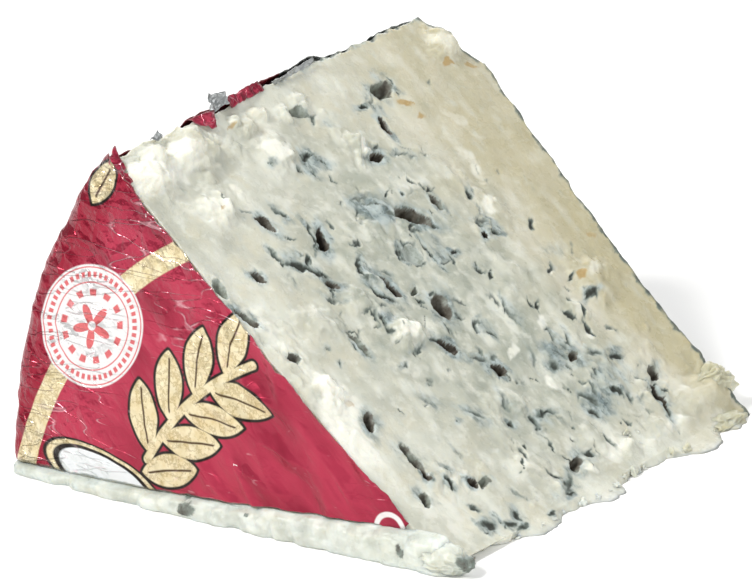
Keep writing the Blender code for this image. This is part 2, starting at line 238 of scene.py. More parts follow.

# Seams of dark mould at the surface, and one painted shadow line below a lump
SEAMS = (
    Mark(63.4, 84.6, 3.2, 1.1, -8, 0.0, 0.9),
    Mark(42.2, 81.0, 4.2, 1.1, -15, 0.3, 0.8),
    Mark(38.3, 79.6, 2.0, 1.2, -70, 0.0, 0.6),
    Mark(44.6, 78.4, 3.4, 1.0, -45, 0.0, 0.6),
    Mark(40.6, 77.2, 2.8, 1.0, -50, 0.0, 0.6),
    Mark(62.0, 73.2, 3.8, 0.9, -22, 0.0, 0.5),
    Mark(64.5, 71.6, 3.0, 0.9, -25, 0.0, 0.4),
    Mark(26.3, 73.5, 3.6, 1.3, -68, 0.0, 0.6),
    Mark(28.3, 67.4, 6.6, 1.1, 66, -0.7, 0.8),
    Mark(19.0, 76.5, 2.6, 1.0, -60, 0.0, 0.4),
    Mark(17.4, 66.4, 5.6, 1.0, -72, 0.5, 0.6),
    Mark(20.6, 63.2, 5.6, 1.5, -38, -0.3, 0.9),
    Mark(22.6, 60.4, 4.8, 1.6, -62, 0.2, 0.8),
    Mark(16.9, 60.8, 3.0, 0.9, 90, 0.0, 0.4),
    Mark(21.6, 54.8, 3.8, 1.1, -40, -0.4, 0.6),
    Mark(33.2, 57.2, 7.2, 1.1, 64, 0.5, 0.75),
    Mark(32.8, 51.6, 6.0, 1.3, -58, -0.7, 0.9),
    Mark(37.6, 54.5, 3.4, 1.0, -70, 0.3, 0.5),
    Mark(44.5, 56.4, 4.2, 0.9, 74, 0.5, 0.7),
    Mark(46.4, 53.5, 3.8, 0.9, -16, -0.5, 0.7),
    Mark(46.6, 57.4, 3.8, 0.9, 0, 0.3, 0.6),
    Mark(48.4, 55.2, 3.0, 0.8, 80, -0.3, 0.45),
    Mark(46.4, 55.3, 2.0, 1.5, 0, 0.0, 0.6),
    Mark(50.6, 54.8, 6.6, 0.9, 85, 0.6, 0.75),
    Mark(52.0, 51.6, 3.0, 0.9, -20, -0.2, 0.6),
    Mark(55.8, 51.8, 1.6, 1.1, -10, 0.0, 0.95),
    Mark(66.8, 54.6, 3.8, 1.1, 40, 0.4, 0.6),
    Mark(68.4, 52.0, 4.0, 1.1, -35, -0.4, 0.75),
    Mark(69.4, 60.6, 2.6, 1.4, 60, 0.0, 0.75),
    Mark(68.8, 57.0, 3.0, 1.0, 80, 0.0, 0.5),
    Mark(46.0, 69.4, 6.0, 1.2, -5, 0.2, 0.5),
    Mark(43.6, 67.4, 4.4, 1.1, -62, 0.0, 0.45),
    Mark(48.8, 64.0, 3.4, 1.1, -30, 0.0, 0.5),
    Mark(55.8, 58.8, 3.8, 1.4, -58, 0.0, 0.85),
    Mark(58.2, 47.7, 1.8, 1.2, 80, 0.0, 0.65),
    Mark(27.2, 47.6, 4.4, 0.9, 60, 0.4, 0.5),
    # Not mould: a grey painted shadow along the lower side of the white lump at (30.8, 43.0)
    Mark(30.8, 39.5, 5.4, 0.9, 12, -0.3, 0.5),
    Mark(36.2, 39.0, 3.8, 1.1, -30, 0.2, 0.75),
    Mark(48.0, 38.0, 4.2, 0.9, 40, 0.5, 0.65),
    Mark(49.0, 35.4, 3.6, 0.9, -60, 0.3, 0.65),
    Mark(57.3, 37.5, 8.0, 0.9, 82, 0.5, 0.5),
    Mark(42.0, 32.4, 4.6, 1.3, -30, 0.0, 0.6),
    Mark(45.6, 31.4, 3.0, 1.1, -20, 0.0, 0.5),
    Mark(24.2, 30.0, 3.8, 1.0, -60, -0.4, 0.5),
    Mark(28.0, 33.0, 1.8, 1.1, 0, 0.0, 0.5),
    Mark(31.4, 23.4, 5.4, 1.3, -58, 0.3, 0.55),
    Mark(21.4, 19.0, 3.4, 1.1, 84, 0.0, 0.45),
    Mark(26.8, 24.2, 1.2, 1.0, 0, 0.0, 0.8),
    Mark(37.1, 19.3, 1.7, 1.5, 0, 0.0, 1.0),
    Mark(39.8, 23.2, 5.8, 1.3, 70, 0.0, 0.5),
    Mark(42.5, 17.6, 3.4, 1.2, 80, 0.0, 0.75),
    Mark(46.4, 17.6, 5.6, 1.4, -6, 0.2, 0.7),
    Mark(14.1, 14.6, 2.8, 1.3, 85, 0.0, 0.95),
    Mark(16.0, 17.2, 2.0, 1.5, -40, 0.0, 0.65),
    Mark(12.5, 43.4, 1.8, 1.1, 70, 0.0, 0.65),
    Mark(12.3, 46.6, 1.3, 1.0, 0, 0.0, 0.5),
    Mark(24.6, 38.0, 2.6, 1.0, 20, 0.0, 0.5),
    Mark(57.0, 24.6, 2.6, 2.2, 40, 0.0, 0.65),
    Mark(59.6, 26.4, 3.4, 1.3, -60, 0.0, 0.55),
    Mark(64.0, 27.4, 3.8, 1.1, 60, 0.0, 0.55),
    Mark(67.0, 23.2, 4.6, 1.6, -25, 0.0, 0.55),
    Mark(71.2, 20.8, 3.8, 1.9, -10, 0.0, 0.8),
    Mark(61.6, 29.6, 5.4, 1.0, 70, 0.0, 0.5),
    Mark(54.2, 27.6, 4.8, 1.4, 75, 0.0, 0.45),
    Mark(57.0, 13.4, 3.0, 1.5, -50, 0.0, 0.75),
    Mark(58.6, 16.4, 5.4, 1.3, -62, 0.0, 0.6),
    Mark(60.8, 17.0, 4.8, 1.2, 70, 0.0, 0.5),
    Mark(64.6, 15.4, 3.4, 1.3, -25, 0.0, 0.85),
    Mark(66.8, 13.0, 2.6, 1.3, 60, 0.0, 0.55),
    Mark(69.8, 12.0, 3.4, 1.5, 30, 0.0, 0.4),
    Mark(75.2, 13.4, 2.8, 1.3, 60, 0.0, 0.75),
    Mark(72.6, 6.8, 2.4, 1.3, 60, 0.0, 0.65),
    Mark(48.3, 7.3, 2.4, 1.3, 20, 0.0, 0.75),
    Mark(38.4, 3.8, 5.4, 1.7, 38, 0.0, 0.65),
    Mark(36.4, 1.6, 3.0, 1.4, 0, 0.0, 0.85),
    Mark(14.7, 4.0, 3.4, 2.4, -40, 0.0, 0.85),
    Mark(15.0, 8.2, 2.8, 1.1, -70, 0.0, 0.65),
    Mark(18.8, 2.0, 2.2, 2.0, -40, 0.0, 0.85),
    Mark(21.6, 3.2, 2.8, 1.8, 80, 0.0, 0.85),
    Mark(20.6, 0.2, 3.4, 1.6, 0, 0.0, 0.75),
    Mark(25.8, 7.2, 3.8, 1.1, -60, 0.0, 0.4),
    Mark(28.8, -0.5, 2.0, 1.6, 0, 0.0, 0.75),
    Mark(77.0, 33.2, 3.6, 1.1, 5, 0.2, 0.8),
    Mark(32.9, 83.0, 2.2, 1.1, -30, 0.0, 0.5),
    Mark(55.1, 66.1, 1.1, 1.0, 0, 0.0, 0.75),
    Mark(70.0, 96.8, 54.0, 1.4, 0, 0.0, 0.6),
    Mark(98.4, 88.0, 14.0, 1.4, -62, 0.0, 0.4),
)

# Pale blue patches
PATCHES = (
    Mark(73.2, 85.2, 4.6, 3.6, 80, 0.0, 0.7),
    Mark(66.2, 82.0, 8.0, 4.4, 55, 0.0, 0.75),
    Mark(42.4, 79.2, 9.6, 7.0, -35, 0.0, 0.95),
    Mark(51.5, 83.8, 5.6, 3.4, -40, 0.0, 0.5),
    Mark(57.6, 74.8, 6.6, 4.8, -20, 0.0, 0.85),
    Mark(65.0, 72.0, 9.6, 3.4, -25, 0.0, 0.35),
    Mark(46.6, 66.4, 12.0, 8.0, -20, 0.0, 1.0),
    Mark(54.0, 60.2, 11.5, 5.6, -40, 0.0, 0.85),
    Mark(53.0, 54.6, 6.4, 6.8, 0, 0.0, 0.6),
    Mark(46.3, 55.4, 5.4, 5.4, 0, 0.0, 0.9),
    Mark(67.6, 53.2, 6.6, 6.0, 0, 0.0, 0.75),
    Mark(61.1, 62.2, 6.8, 4.6, 78, 0.0, 0.5),
    Mark(29.6, 66.6, 8.6, 5.4, 62, 0.0, 0.6),
    Mark(21.0, 72.6, 7.4, 4.6, -68, 0.0, 0.5),
    Mark(26.4, 73.4, 4.6, 3.2, -68, 0.0, 0.6),
    Mark(19.4, 64.6, 8.6, 5.8, -50, 0.0, 0.6),
    Mark(22.8, 60.2, 7.8, 4.6, -55, 0.0, 0.6),
    Mark(21.8, 55.0, 5.8, 4.4, -30, 0.0, 0.55),
    Mark(34.4, 54.0, 11.0, 7.4, 75, 0.0, 0.8),
    Mark(43.8, 44.6, 8.4, 6.8, 50, 0.0, 0.65),
    Mark(18.4, 44.6, 8.0, 5.0, 90, 0.0, 0.7),
    Mark(29.2, 47.4, 6.8, 4.8, 10, 0.0, 0.8),
    Mark(37.4, 38.0, 7.0, 4.4, -60, 0.0, 0.5),
    Mark(48.6, 36.8, 5.4, 5.6, 0, 0.0, 0.8),
    Mark(57.8, 37.0, 5.6, 10.0, 0, 0.0, 0.45),
    Mark(43.6, 30.8, 9.0, 5.6, -30, 0.0, 0.75),
    Mark(9.2, 31.8, 6.8, 4.6, 60, 0.0, 0.45),
    Mark(11.6, 21.6, 9.6, 4.8, 92, 0.0, 0.35),
    Mark(24.8, 29.6, 5.6, 5.6, 0, 0.0, 0.5),
    Mark(31.6, 22.8, 7.2, 5.2, -58, 0.0, 0.6),
    Mark(60.0, 26.0, 13.0, 9.0, -10, 0.0, 0.75),
    Mark(59.0, 15.5, 10.0, 8.6, -20, 0.0, 0.95),
    Mark(66.0, 18.0, 13.0, 10.0, 0, 0.0, 0.6),
    Mark(46.0, 17.6, 9.0, 4.2, 0, 0.0, 0.5),
    Mark(40.0, 23.0, 4.6, 9.0, 0, 0.0, 0.4),
    Mark(74.8, 12.4, 6.0, 10.0, -10, 0.0, 0.6),
    Mark(43.6, 6.4, 11.0, 5.6, 30, 0.0, 0.65),
    Mark(36.0, 2.6, 9.0, 5.6, 30, 0.0, 0.6),
    Mark(20.0, 2.0, 10.0, 5.6, 0, 0.0, 0.6),
    Mark(14.8, 4.4, 6.6, 5.4, 0, 0.0, 0.5),
    Mark(77.0, 43.0, 6.4, 5.4, 0, 0.0, 0.3),
    Mark(77.4, 33.4, 5.6, 3.6, 0, 0.0, 0.4),
    Mark(26.0, 7.0, 6.6, 4.6, 0, 0.0, 0.3),
    Mark(70.5, 21.0, 8.0, 4.6, 0, 0.0, 0.5),
    Mark(64.0, 57.0, 5.0, 12.0, 30, 0.0, 0.25),
)

# Amber spots where whey has dried
AMBER_SPOTS = (
    Mark(73.2, 82.0, 3.6, 2.4, -60, 0.0, 1.0),
    Mark(73.9, 78.4, 2.4, 1.6, 10, 0.0, 0.7),
    Mark(90.1, 85.6, 3.2, 1.6, -8, 0.0, 1.0),
    Mark(95.6, 83.7, 4.0, 1.2, -18, 0.0, 0.6),
    Mark(78.5, 37.3, 3.2, 1.9, 15, 0.0, 0.9),
    Mark(89.4, 43.5, 2.6, 1.6, -15, 0.0, 0.5),
    Mark(13.8, 78.7, 2.0, 1.2, 0, 0.0, 0.6),
    Mark(30.8, 92.2, 2.6, 1.3, 10, 0.0, 0.6),
    Mark(12.5, 94.0, 2.2, 1.2, 0, 0.0, 0.6),
    Mark(3.6, 87.2, 3.0, 1.2, -20, 0.0, 0.3),
    Mark(7.4, 36.0, 4.0, 1.0, -58, 0.0, 0.4),
    Mark(66.8, 26.0, 1.6, 1.4, 0, 0.0, 0.4),
)

# White curd: lumps and smears that are brighter than the paste
CURDS = (
    Mark(55.0, 77.4, 6.8, 4.6, 42, 0.0, 1.0),
    Mark(31.0, 43.2, 9.0, 5.4, -8, 0.0, 1.0),
    Mark(36.0, 85.2, 11.0, 6.0, -5, 0.0, 0.8),
    Mark(6.0, 38.0, 20.0, 9.0, -72, 0.0, 1.0),
    Mark(30.0, 76.0, 14.0, 6.0, -10, 0.0, 0.35),
    Mark(36.0, 71.6, 10.0, 4.0, 20, 0.0, 0.4),
    Mark(60.0, 68.0, 12.0, 4.6, -30, 0.0, 0.45),
    Mark(26.0, 36.0, 12.0, 6.0, -30, 0.0, 0.4),
    Mark(52.0, 42.0, 12.0, 5.0, 30, 0.0, 0.4),
    Mark(34.0, 12.0, 14.0, 7.0, 0, 0.0, 0.4),
    Mark(56.0, 6.0, 14.0, 6.0, 0, 0.0, 0.5),
    Mark(92.4, 89.4, 10.0, 6.0, -48, 0.0, 0.55),
    Mark(10.0, 90.0, 26.0, 10.0, 4, 0.0, 0.95),
    Mark(13.0, 79.0, 12.0, 9.0, 0, 0.0, 0.6),
    Mark(8.0, 10.0, 14.0, 18.0, 0, 0.0, 0.4),
    Mark(2.5, 30.0, 10.0, 24.0, 0, 0.0, 1.0),
    Mark(3.0, 56.0, 8.0, 20.0, 0, 0.0, 0.5),
    Mark(33.4, 54.4, 4.4, 2.6, 75, 0.0, 0.5),
    Mark(70.0, 4.0, 12.0, 5.0, 0, 0.0, 0.6),
    Mark(45.0, 4.6, 4.0, 3.0, 60, 0.0, 0.7),
    Mark(71.6, 32.0, 7.0, 4.4, 20, 0.0, 0.5),
    Mark(82.0, 37.4, 6.0, 4.0, 30, 0.0, 0.6),
    Mark(21.0, 80.5, 3.4, 4.4, 0, 0.0, 0.6),
    Mark(80.0, 6.0, 8.0, 4.0, 10, 0.0, 0.3),
    Mark(72.0, 57.0, 7.0, 3.4, -70, 0.0, 0.7),
    Mark(76.0, 66.0, 12.0, 4.0, -75, 0.0, 0.6),
    Mark(82.0, 74.0, 14.0, 4.0, -70, 0.0, 0.4),
    Mark(62.0, 33.0, 5.0, 3.4, 20, 0.0, 0.7),
    Mark(54.0, 22.0, 5.0, 3.0, -10, 0.0, 0.7),
    Mark(70.0, 27.0, 4.4, 3.0, 30, 0.0, 0.6),
    Mark(50.0, 31.0, 4.0, 2.6, 60, 0.0, 0.6),
)

# Where the cut has crumbled instead of being cut clean
CRUMBLY = (
    Mark(12.0, 90.0, 44.0, 15.0, 2, 0.0, 1.0),
    Mark(3.0, 42.0, 11.0, 44.0, 0, 0.0, 0.6),
    Mark(55.0, 77.0, 10.0, 8.0, 30, 0.0, 1.0),
    Mark(30.6, 43.0, 11.0, 7.0, -8, 0.0, 0.6),
    Mark(13.6, 79.0, 10.0, 7.0, 0, 0.0, 0.8),
    Mark(61.0, 22.0, 30.0, 20.0, 0, 0.0, 0.45),
    Mark(44.0, 1.0, 90.0, 12.0, 2, 0.0, 0.9),
    Mark(68.0, 53.0, 10.0, 9.0, 0, 0.0, 0.7),
    Mark(75.0, 13.0, 12.0, 14.0, 0, 0.0, 0.8),
    Mark(80.0, 38.0, 20.0, 18.0, 0, 0.0, 0.5),
    Mark(92.0, 90.0, 12.0, 10.0, -45, 0.0, 0.5),
    Mark(87.0, 8.0, 14.0, 18.0, 0, 0.0, 0.8),
    Mark(17.0, 15.0, 16.0, 10.0, 0, 0.0, 0.7),
)


def mark_axes(mark, x, r):
    """Where a point is from a mark's middle, along and across it: 1 at its ends and its sides."""
    turn = math.radians(mark.turn)
    dx, dr = x - mark.x, r - mark.r
    along = (dx * math.cos(turn) + dr * math.sin(turn)) / (mark.length / 2.0)
    across = dr * math.cos(turn) - dx * math.sin(turn) - mark.bend * (1.0 - np.minimum(along**2, 4.0))
    return along, across / (mark.width / 2.0)


def mark_reach(mark, x, r):
    """How far a point is from a mark's middle: 1 on the mark's outline."""
    return np.hypot(*mark_axes(mark, x, r))


def drawn(marks, x, r, inner, outer):
    """How far each point is covered by a mark, fading out between two reaches, and that mark's tone."""
    cover, tone = np.zeros_like(x), np.zeros_like(x)
    for mark in marks:
        share = 1.0 - ease(inner, outer, mark_reach(mark, x, r))
        tone = np.where(share > cover, mark.tone, tone)
        cover = np.maximum(cover, share)
    return cover, tone


def marks_tone(marks, x, r, inner, outer):
    cover, tone = drawn(marks, x, r, inner, outer)
    return cover * tone


def strayed(x, r, swell, reach):
    """The same points moved a little by noise, so that what is drawn at them gets an uneven outline."""
    dx = reach * (grain(21.0, x / swell, r / swell) + 0.4 * grain(23.0, 3.0 * x / swell, 3.0 * r / swell))
    dr = reach * (grain(37.0, x / swell, r / swell) + 0.4 * grain(39.0, 3.0 * x / swell, 3.0 * r / swell))
    return x + dx, r + dr


def ragged(x, r):
    """Strayed twice, coarsely and finely, for the torn outline of a thin seam."""
    return strayed(*strayed(x, r, 2.4, 0.95), 0.9, 0.38)


EYE_SIDES = 6


def sided_reach(mark, x, r):
    """How far a point is from a mark's middle, for a mark torn to straight sides: 1 on its outline."""
    chance = np.random.default_rng(round(97.0 * mark.x + mark.r))
    along, across = mark_axes(mark, x, r)
    reach = np.zeros_like(x)
    for side in range(EYE_SIDES):
        faces = 2.0 * math.pi * (side + chance.uniform(-0.25, 0.25)) / EYE_SIDES
        away = (along * math.cos(faces) + across * math.sin(faces)) / chance.uniform(0.72, 1.05)
        reach = np.maximum(reach, away)
    return reach


def hollows(x, r):
    """The open eyes: how deep each point lies, how far it is inside an eye, and how dark its floor is
    painted, mould and painted shade together.
    """
    depth, inside, black = np.zeros_like(x), np.zeros_like(x), np.zeros_like(x)
    near_x, near_r = strayed(x, r, 2.6, 0.6)
    for eye, floor in EYES:
        reach = sided_reach(eye, near_x, near_r)
        wall = 1.0 - ease(0.15, 1.08, reach)
        share = 1.0 - ease(0.75, 1.2, reach)
        # Painted shade: each floor is darker towards the eye's deep middle
        black = np.where(share > inside, eye.tone * mix(0.7, 1.0, wall), black)
        inside = np.maximum(inside, share)
        depth = np.maximum(depth, min(1.2 * floor, 1.3 * eye.width) * wall)
    return depth, inside, black


FLECK_COUNT = 210
FLECK_SEED = 5


def strewn_flecks(count, seed):
    """Small seams scattered where mould is thickest: round the patches and in a belt above the thin edge."""
    chance = np.random.default_rng(seed)
    flecks = []
    while len(flecks) < count:
        x, r = chance.uniform(8.0, 82.0), chance.uniform(-1.0, 88.0)
        belt = ease(30.0, 44.0, x) * ease(80.0, 70.0, x) * ease(46.0, 34.0, r) * ease(4.0, 9.0, r)
        middle = ease(14.0, 24.0, x) * ease(68.0, 56.0, x) * ease(74.0, 66.0, r) * ease(34.0, 42.0, r)
        near_patch = float(marks_tone(PATCHES, np.array(x), np.array(r), 0.5, 1.5))
        dense = 0.06 + 0.5 * belt + 0.3 * middle + 0.7 * near_patch
        length, width = chance.uniform(0.8, 4.4), chance.uniform(0.4, 1.2)
        turn, bend, tone = chance.normal(80.0, 45.0), chance.normal(0.0, 0.3), chance.uniform(0.2, 0.8)
        if chance.random() < dense:
            flecks.append(Mark(x, r, length, min(width, length), turn, bend, tone))
    return flecks


ALL_SEAMS = list(SEAMS) + strewn_flecks(FLECK_COUNT, FLECK_SEED)


def marbling(x, r):
    """What the paste's material reads at each point of the upper cut."""
    mx, mr = ragged(x, r)
    wide_x, wide_r = strayed(x, r, 5.0, 2.4)
    depth, inside, black = hollows(x, r)
    warm = ease(48.0, 88.0, wide_x + 0.14 * (wide_r - 50.0)) * mix(0.85, 1.0, ease(4.0, 26.0, wide_r))
    warm = warm - 0.1 * ease(66.0, 92.0, wide_r) + 0.25 * ease(56.0, 30.0, wide_r) * ease(74.0, 86.0, wide_x)
    warm = np.clip(warm, 0.0, 1.2)
    rind = 0.5 * ease(-1.5, -0.5, mx - far_face_x(np.clip(mr, 0.0, WHEEL_RADIUS), 1.0))
    halo = marks_tone(list(SEAMS) + [eye for eye, floor in EYES], *strayed(x, r, 3.4, 1.2), 0.7, 2.6)
    return {
        "eye": inside,
        "black": black,
        "seam": np.maximum(marks_tone(ALL_SEAMS, mx, mr, 0.2, 1.55), rind),
        "patch": np.maximum(marks_tone(PATCHES, wide_x, wide_r, 0.35, 1.15), 0.9 * halo),
        "amber": marks_tone(AMBER_SPOTS, mx, mr, 0.4, 1.4),
        "curd": marks_tone(CURDS, wide_x, wide_r, 0.3, 1.15),
        "crumbly": marks_tone(CRUMBLY, wide_x, wide_r, 0.4, 1.2),
        "warm": warm,
        "dull": 1.0 - ease(0.35, 1.25, np.hypot((wide_x - 50.0) / 40.0, (wide_r - 44.0) / 44.0)),
    }


def relief(x, r):
    """How far the upper cut stands above its plane."""
    crumbly = marks_tone(CRUMBLY, *strayed(x, r, 4.0, 1.2), 0.3, 1.3)
    height = 0.8 * grain(1.3, x / 22.0, r / 30.0) + 0.5 * grain(4.1, x / 8.0, r / 9.0)
    height += mix(0.16, 0.5, crumbly) * grain(8.9, x / 3.6, r / 4.2)
    height += mix(0.02, 0.1, crumbly) * grain(2.2, x / 1.5, r / 1.8)
    ledge = grain(9.4, x / 6.0, r / 9.0) + 0.4 * grain(9.9, x / 1.7, r / 2.2)
    rough_patches = np.maximum(crumbly, 0.5 * ease(0.1, 0.4, grain(7.7, x / 14.0, r / 14.0)))
    height += 0.6 * rough_patches * (ease(-0.1, 0.15, ledge) + ease(0.24, 0.45, ledge))
    cx, cr = strayed(x, r, 3.0, 1.6)
    for lump in LUMPS:
        near = np.hypot(cx - lump.x, cr - lump.r) / (lump.size / 2.0)
        height += lump.height * (1.0 - ease(0.2, 1.1, near))
    lumps = 0.8 * grains(3.0, cx / 3.6, cr / 4.0) + 0.4 * grains(6.0, cx / 1.6, cr / 1.7)
    height += crumbly * (lumps * (0.7 + 0.8 * grain(7.1, x / 6.0, r / 6.0)) - 0.4)
    seams = 0.6 * marks_tone(ALL_SEAMS, *ragged(x, r), 0.1, 1.2)
    return height - np.maximum(hollows(x, r)[0], seams)


# The share of the cut's length that has crumbled at each border
WORN_SHARE = 0.034


def cut_shift(u, v):
    """The upper cut's relief and crumbled border, as a move of each of its points."""
    point = wedge_points(u, v, 1.0)
    x, r = point[..., 0], v * WHEEL_RADIUS
    worn = 1.0 * abs(grain(12.0, x / 5.0, r / 5.0)) + 0.3 * grains(5.0, x / 1.8, r / 1.8)
    near_edge = 1.0 - ease(0.0, WORN_SHARE, u)
    far_edge = 1.0 - ease(0.0, WORN_SHARE, 1.0 - u)
    rim_edge = 1.0 - ease(0.0, WORN_SHARE, 1.0 - v)
    radial = np.array((0.0, math.cos(WEDGE_ANGLE), math.sin(WEDGE_ANGLE)))
    outward = np.array((0.0, -math.sin(WEDGE_ANGLE), math.cos(WEDGE_ANGLE)))
    along_axis = (worn * (0.5 * near_edge - 0.8 * far_edge))[..., None] * np.array((1.0, 0.0, 0.0))
    height = relief(x, r) * ease(0.0, 0.08, v)
    return along_axis + (-1.1 * worn * rim_edge)[..., None] * radial + height[..., None] * outward


def grid_faces(index):
    """Quads between the rows of an array of point numbers."""
    return np.stack((index[:-1, :-1], index[:-1, 1:], index[1:, 1:], index[1:, :-1]), axis=-1).reshape(-1, 4)


def welded(points, faces, fields):
    """The same mesh with points that coincide made one."""
    _, first, index = np.unique(np.round(points, 4), axis=0, return_index=True, return_inverse=True)
    index = index.reshape(-1)
    fields = {name: values[first] for name, values in fields.items()}
    return points[first], [index[face] for face in faces], fields


def new_piece(name, points, faces, fields, slot, node, *materials):
    """A piece of the scene from points in millimetres, with one number per point in each named field."""
    mesh = bpy.data.meshes.new(name)
    mesh.from_pydata(((points - BASE_POINT) * MM).tolist(), [], [list(map(int, face)) for face in faces])
    shape = bmesh.new()
    shape.from_mesh(mesh)
    bmesh.ops.recalc_face_normals(shape, faces=shape.faces)
    shape.to_mesh(mesh)
    shape.free()
    for field, values in fields.items():
        mesh.attributes.new(field, "FLOAT", "POINT").data.foreach_set("value", values.astype(np.float32))
    mesh.shade_smooth()
    for material in materials:
        mesh.materials.append(material)
    piece = bpy.data.objects.new(name, mesh)
    bpy.context.scene.collection.objects.link(piece)
    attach(piece, "root")
    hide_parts(node)
    return piece


def colour(code):
    """An sRGB hex colour as linear values."""
    levels = [int(code[place : place + 2], 16) / 255.0 for place in (0, 2, 4)]
    return [s / 12.92 if s <= 0.04045 else ((s + 0.055) / 1.055) ** 2.4 for s in levels] + [1.0]


def add_node(tree, kind, *values, out=0, **settings):
    """One new shader node, which is a Math node where kind is in capitals. Its inputs are given in order,
    or in a dict. A socket is linked, a hex colour is turned to linear, and anything else is set."""
    made = tree.nodes.new("ShaderNodeMath" if kind.isupper() else "ShaderNode" + kind)
    if kind.isupper():
        made.operation = kind
    for name, value in settings.items():
        setattr(made, name, value)
    inputs = values[0] if values and isinstance(values[0], dict) else dict(enumerate(values))
    for key, value in inputs.items():
        if isinstance(value, bpy.types.NodeSocket):
            tree.links.new(value, made.inputs[key])
        else:
            made.inputs[key].default_value = colour(value) if isinstance(value, str) else value
    return made.outputs[out]


# Settings that many nodes share: a mix of two colours at inputs 6 and 7, and a smooth rise
MIXED = {"out": 2, "data_type": "RGBA"}
SMOOTH = {"interpolation_type": "SMOOTHSTEP"}


def new_material(name):
    """A material with a bare shader, and the function that adds a node to it."""
    material = bpy.data.materials.new(name)
    material.use_nodes = True
    tree = material.node_tree
    return material, tree, tree.nodes["Principled BSDF"], partial(add_node, tree)


# Noise in the curd, from broad clouds to grit: size in millimetres, detail and roughness
CURD_CLOUDS = {
    "broad": (9.0, 2.0, 0.5),
    "warming": (8.0, 3.0, 0.5),
    "creamy": (6.0, 2.0, 0.5),
    "greyed": (4.4, 2.0, 0.5),
    "middle": (2.6, 2.0, 0.5),
    "curdled": (1.9, 2.0, 0.5),
    "grit": (0.9, 3.0, 0.65),
    "fine": (0.8, 3.0, 0.6),
    "speck": (0.45, 2.0, 0.6),
}
# The same for noise that the wire smeared along the cut
CURD_SMEARS = {
    "yellowed": (5.0, 2.0, 0.55),
    "whitened": (3.6, 2.0, 0.45),
    "streak": (1.8, 3.0, 0.55),
    "fleck": (1.7, 3.0, 0.6),
}
SMEAR_STRETCH = 2.0
CURD_FIELDS = ("eye", "black", "seam", "patch", "amber", "curd", "crumbly", "warm", "dull")
# Colours of an eye's floor, mould with painted shade, from a shallow grey one to a deep black one
SHALLOW_FLOOR = (0.15, "a3aba4")
DEEP_FLOOR = (1.0, "120d07")
FLOORS_BETWEEN = ((0.36, "80877c"), (0.56, "615f56"), (0.72, "4a453b"), (0.86, "2f281d"))


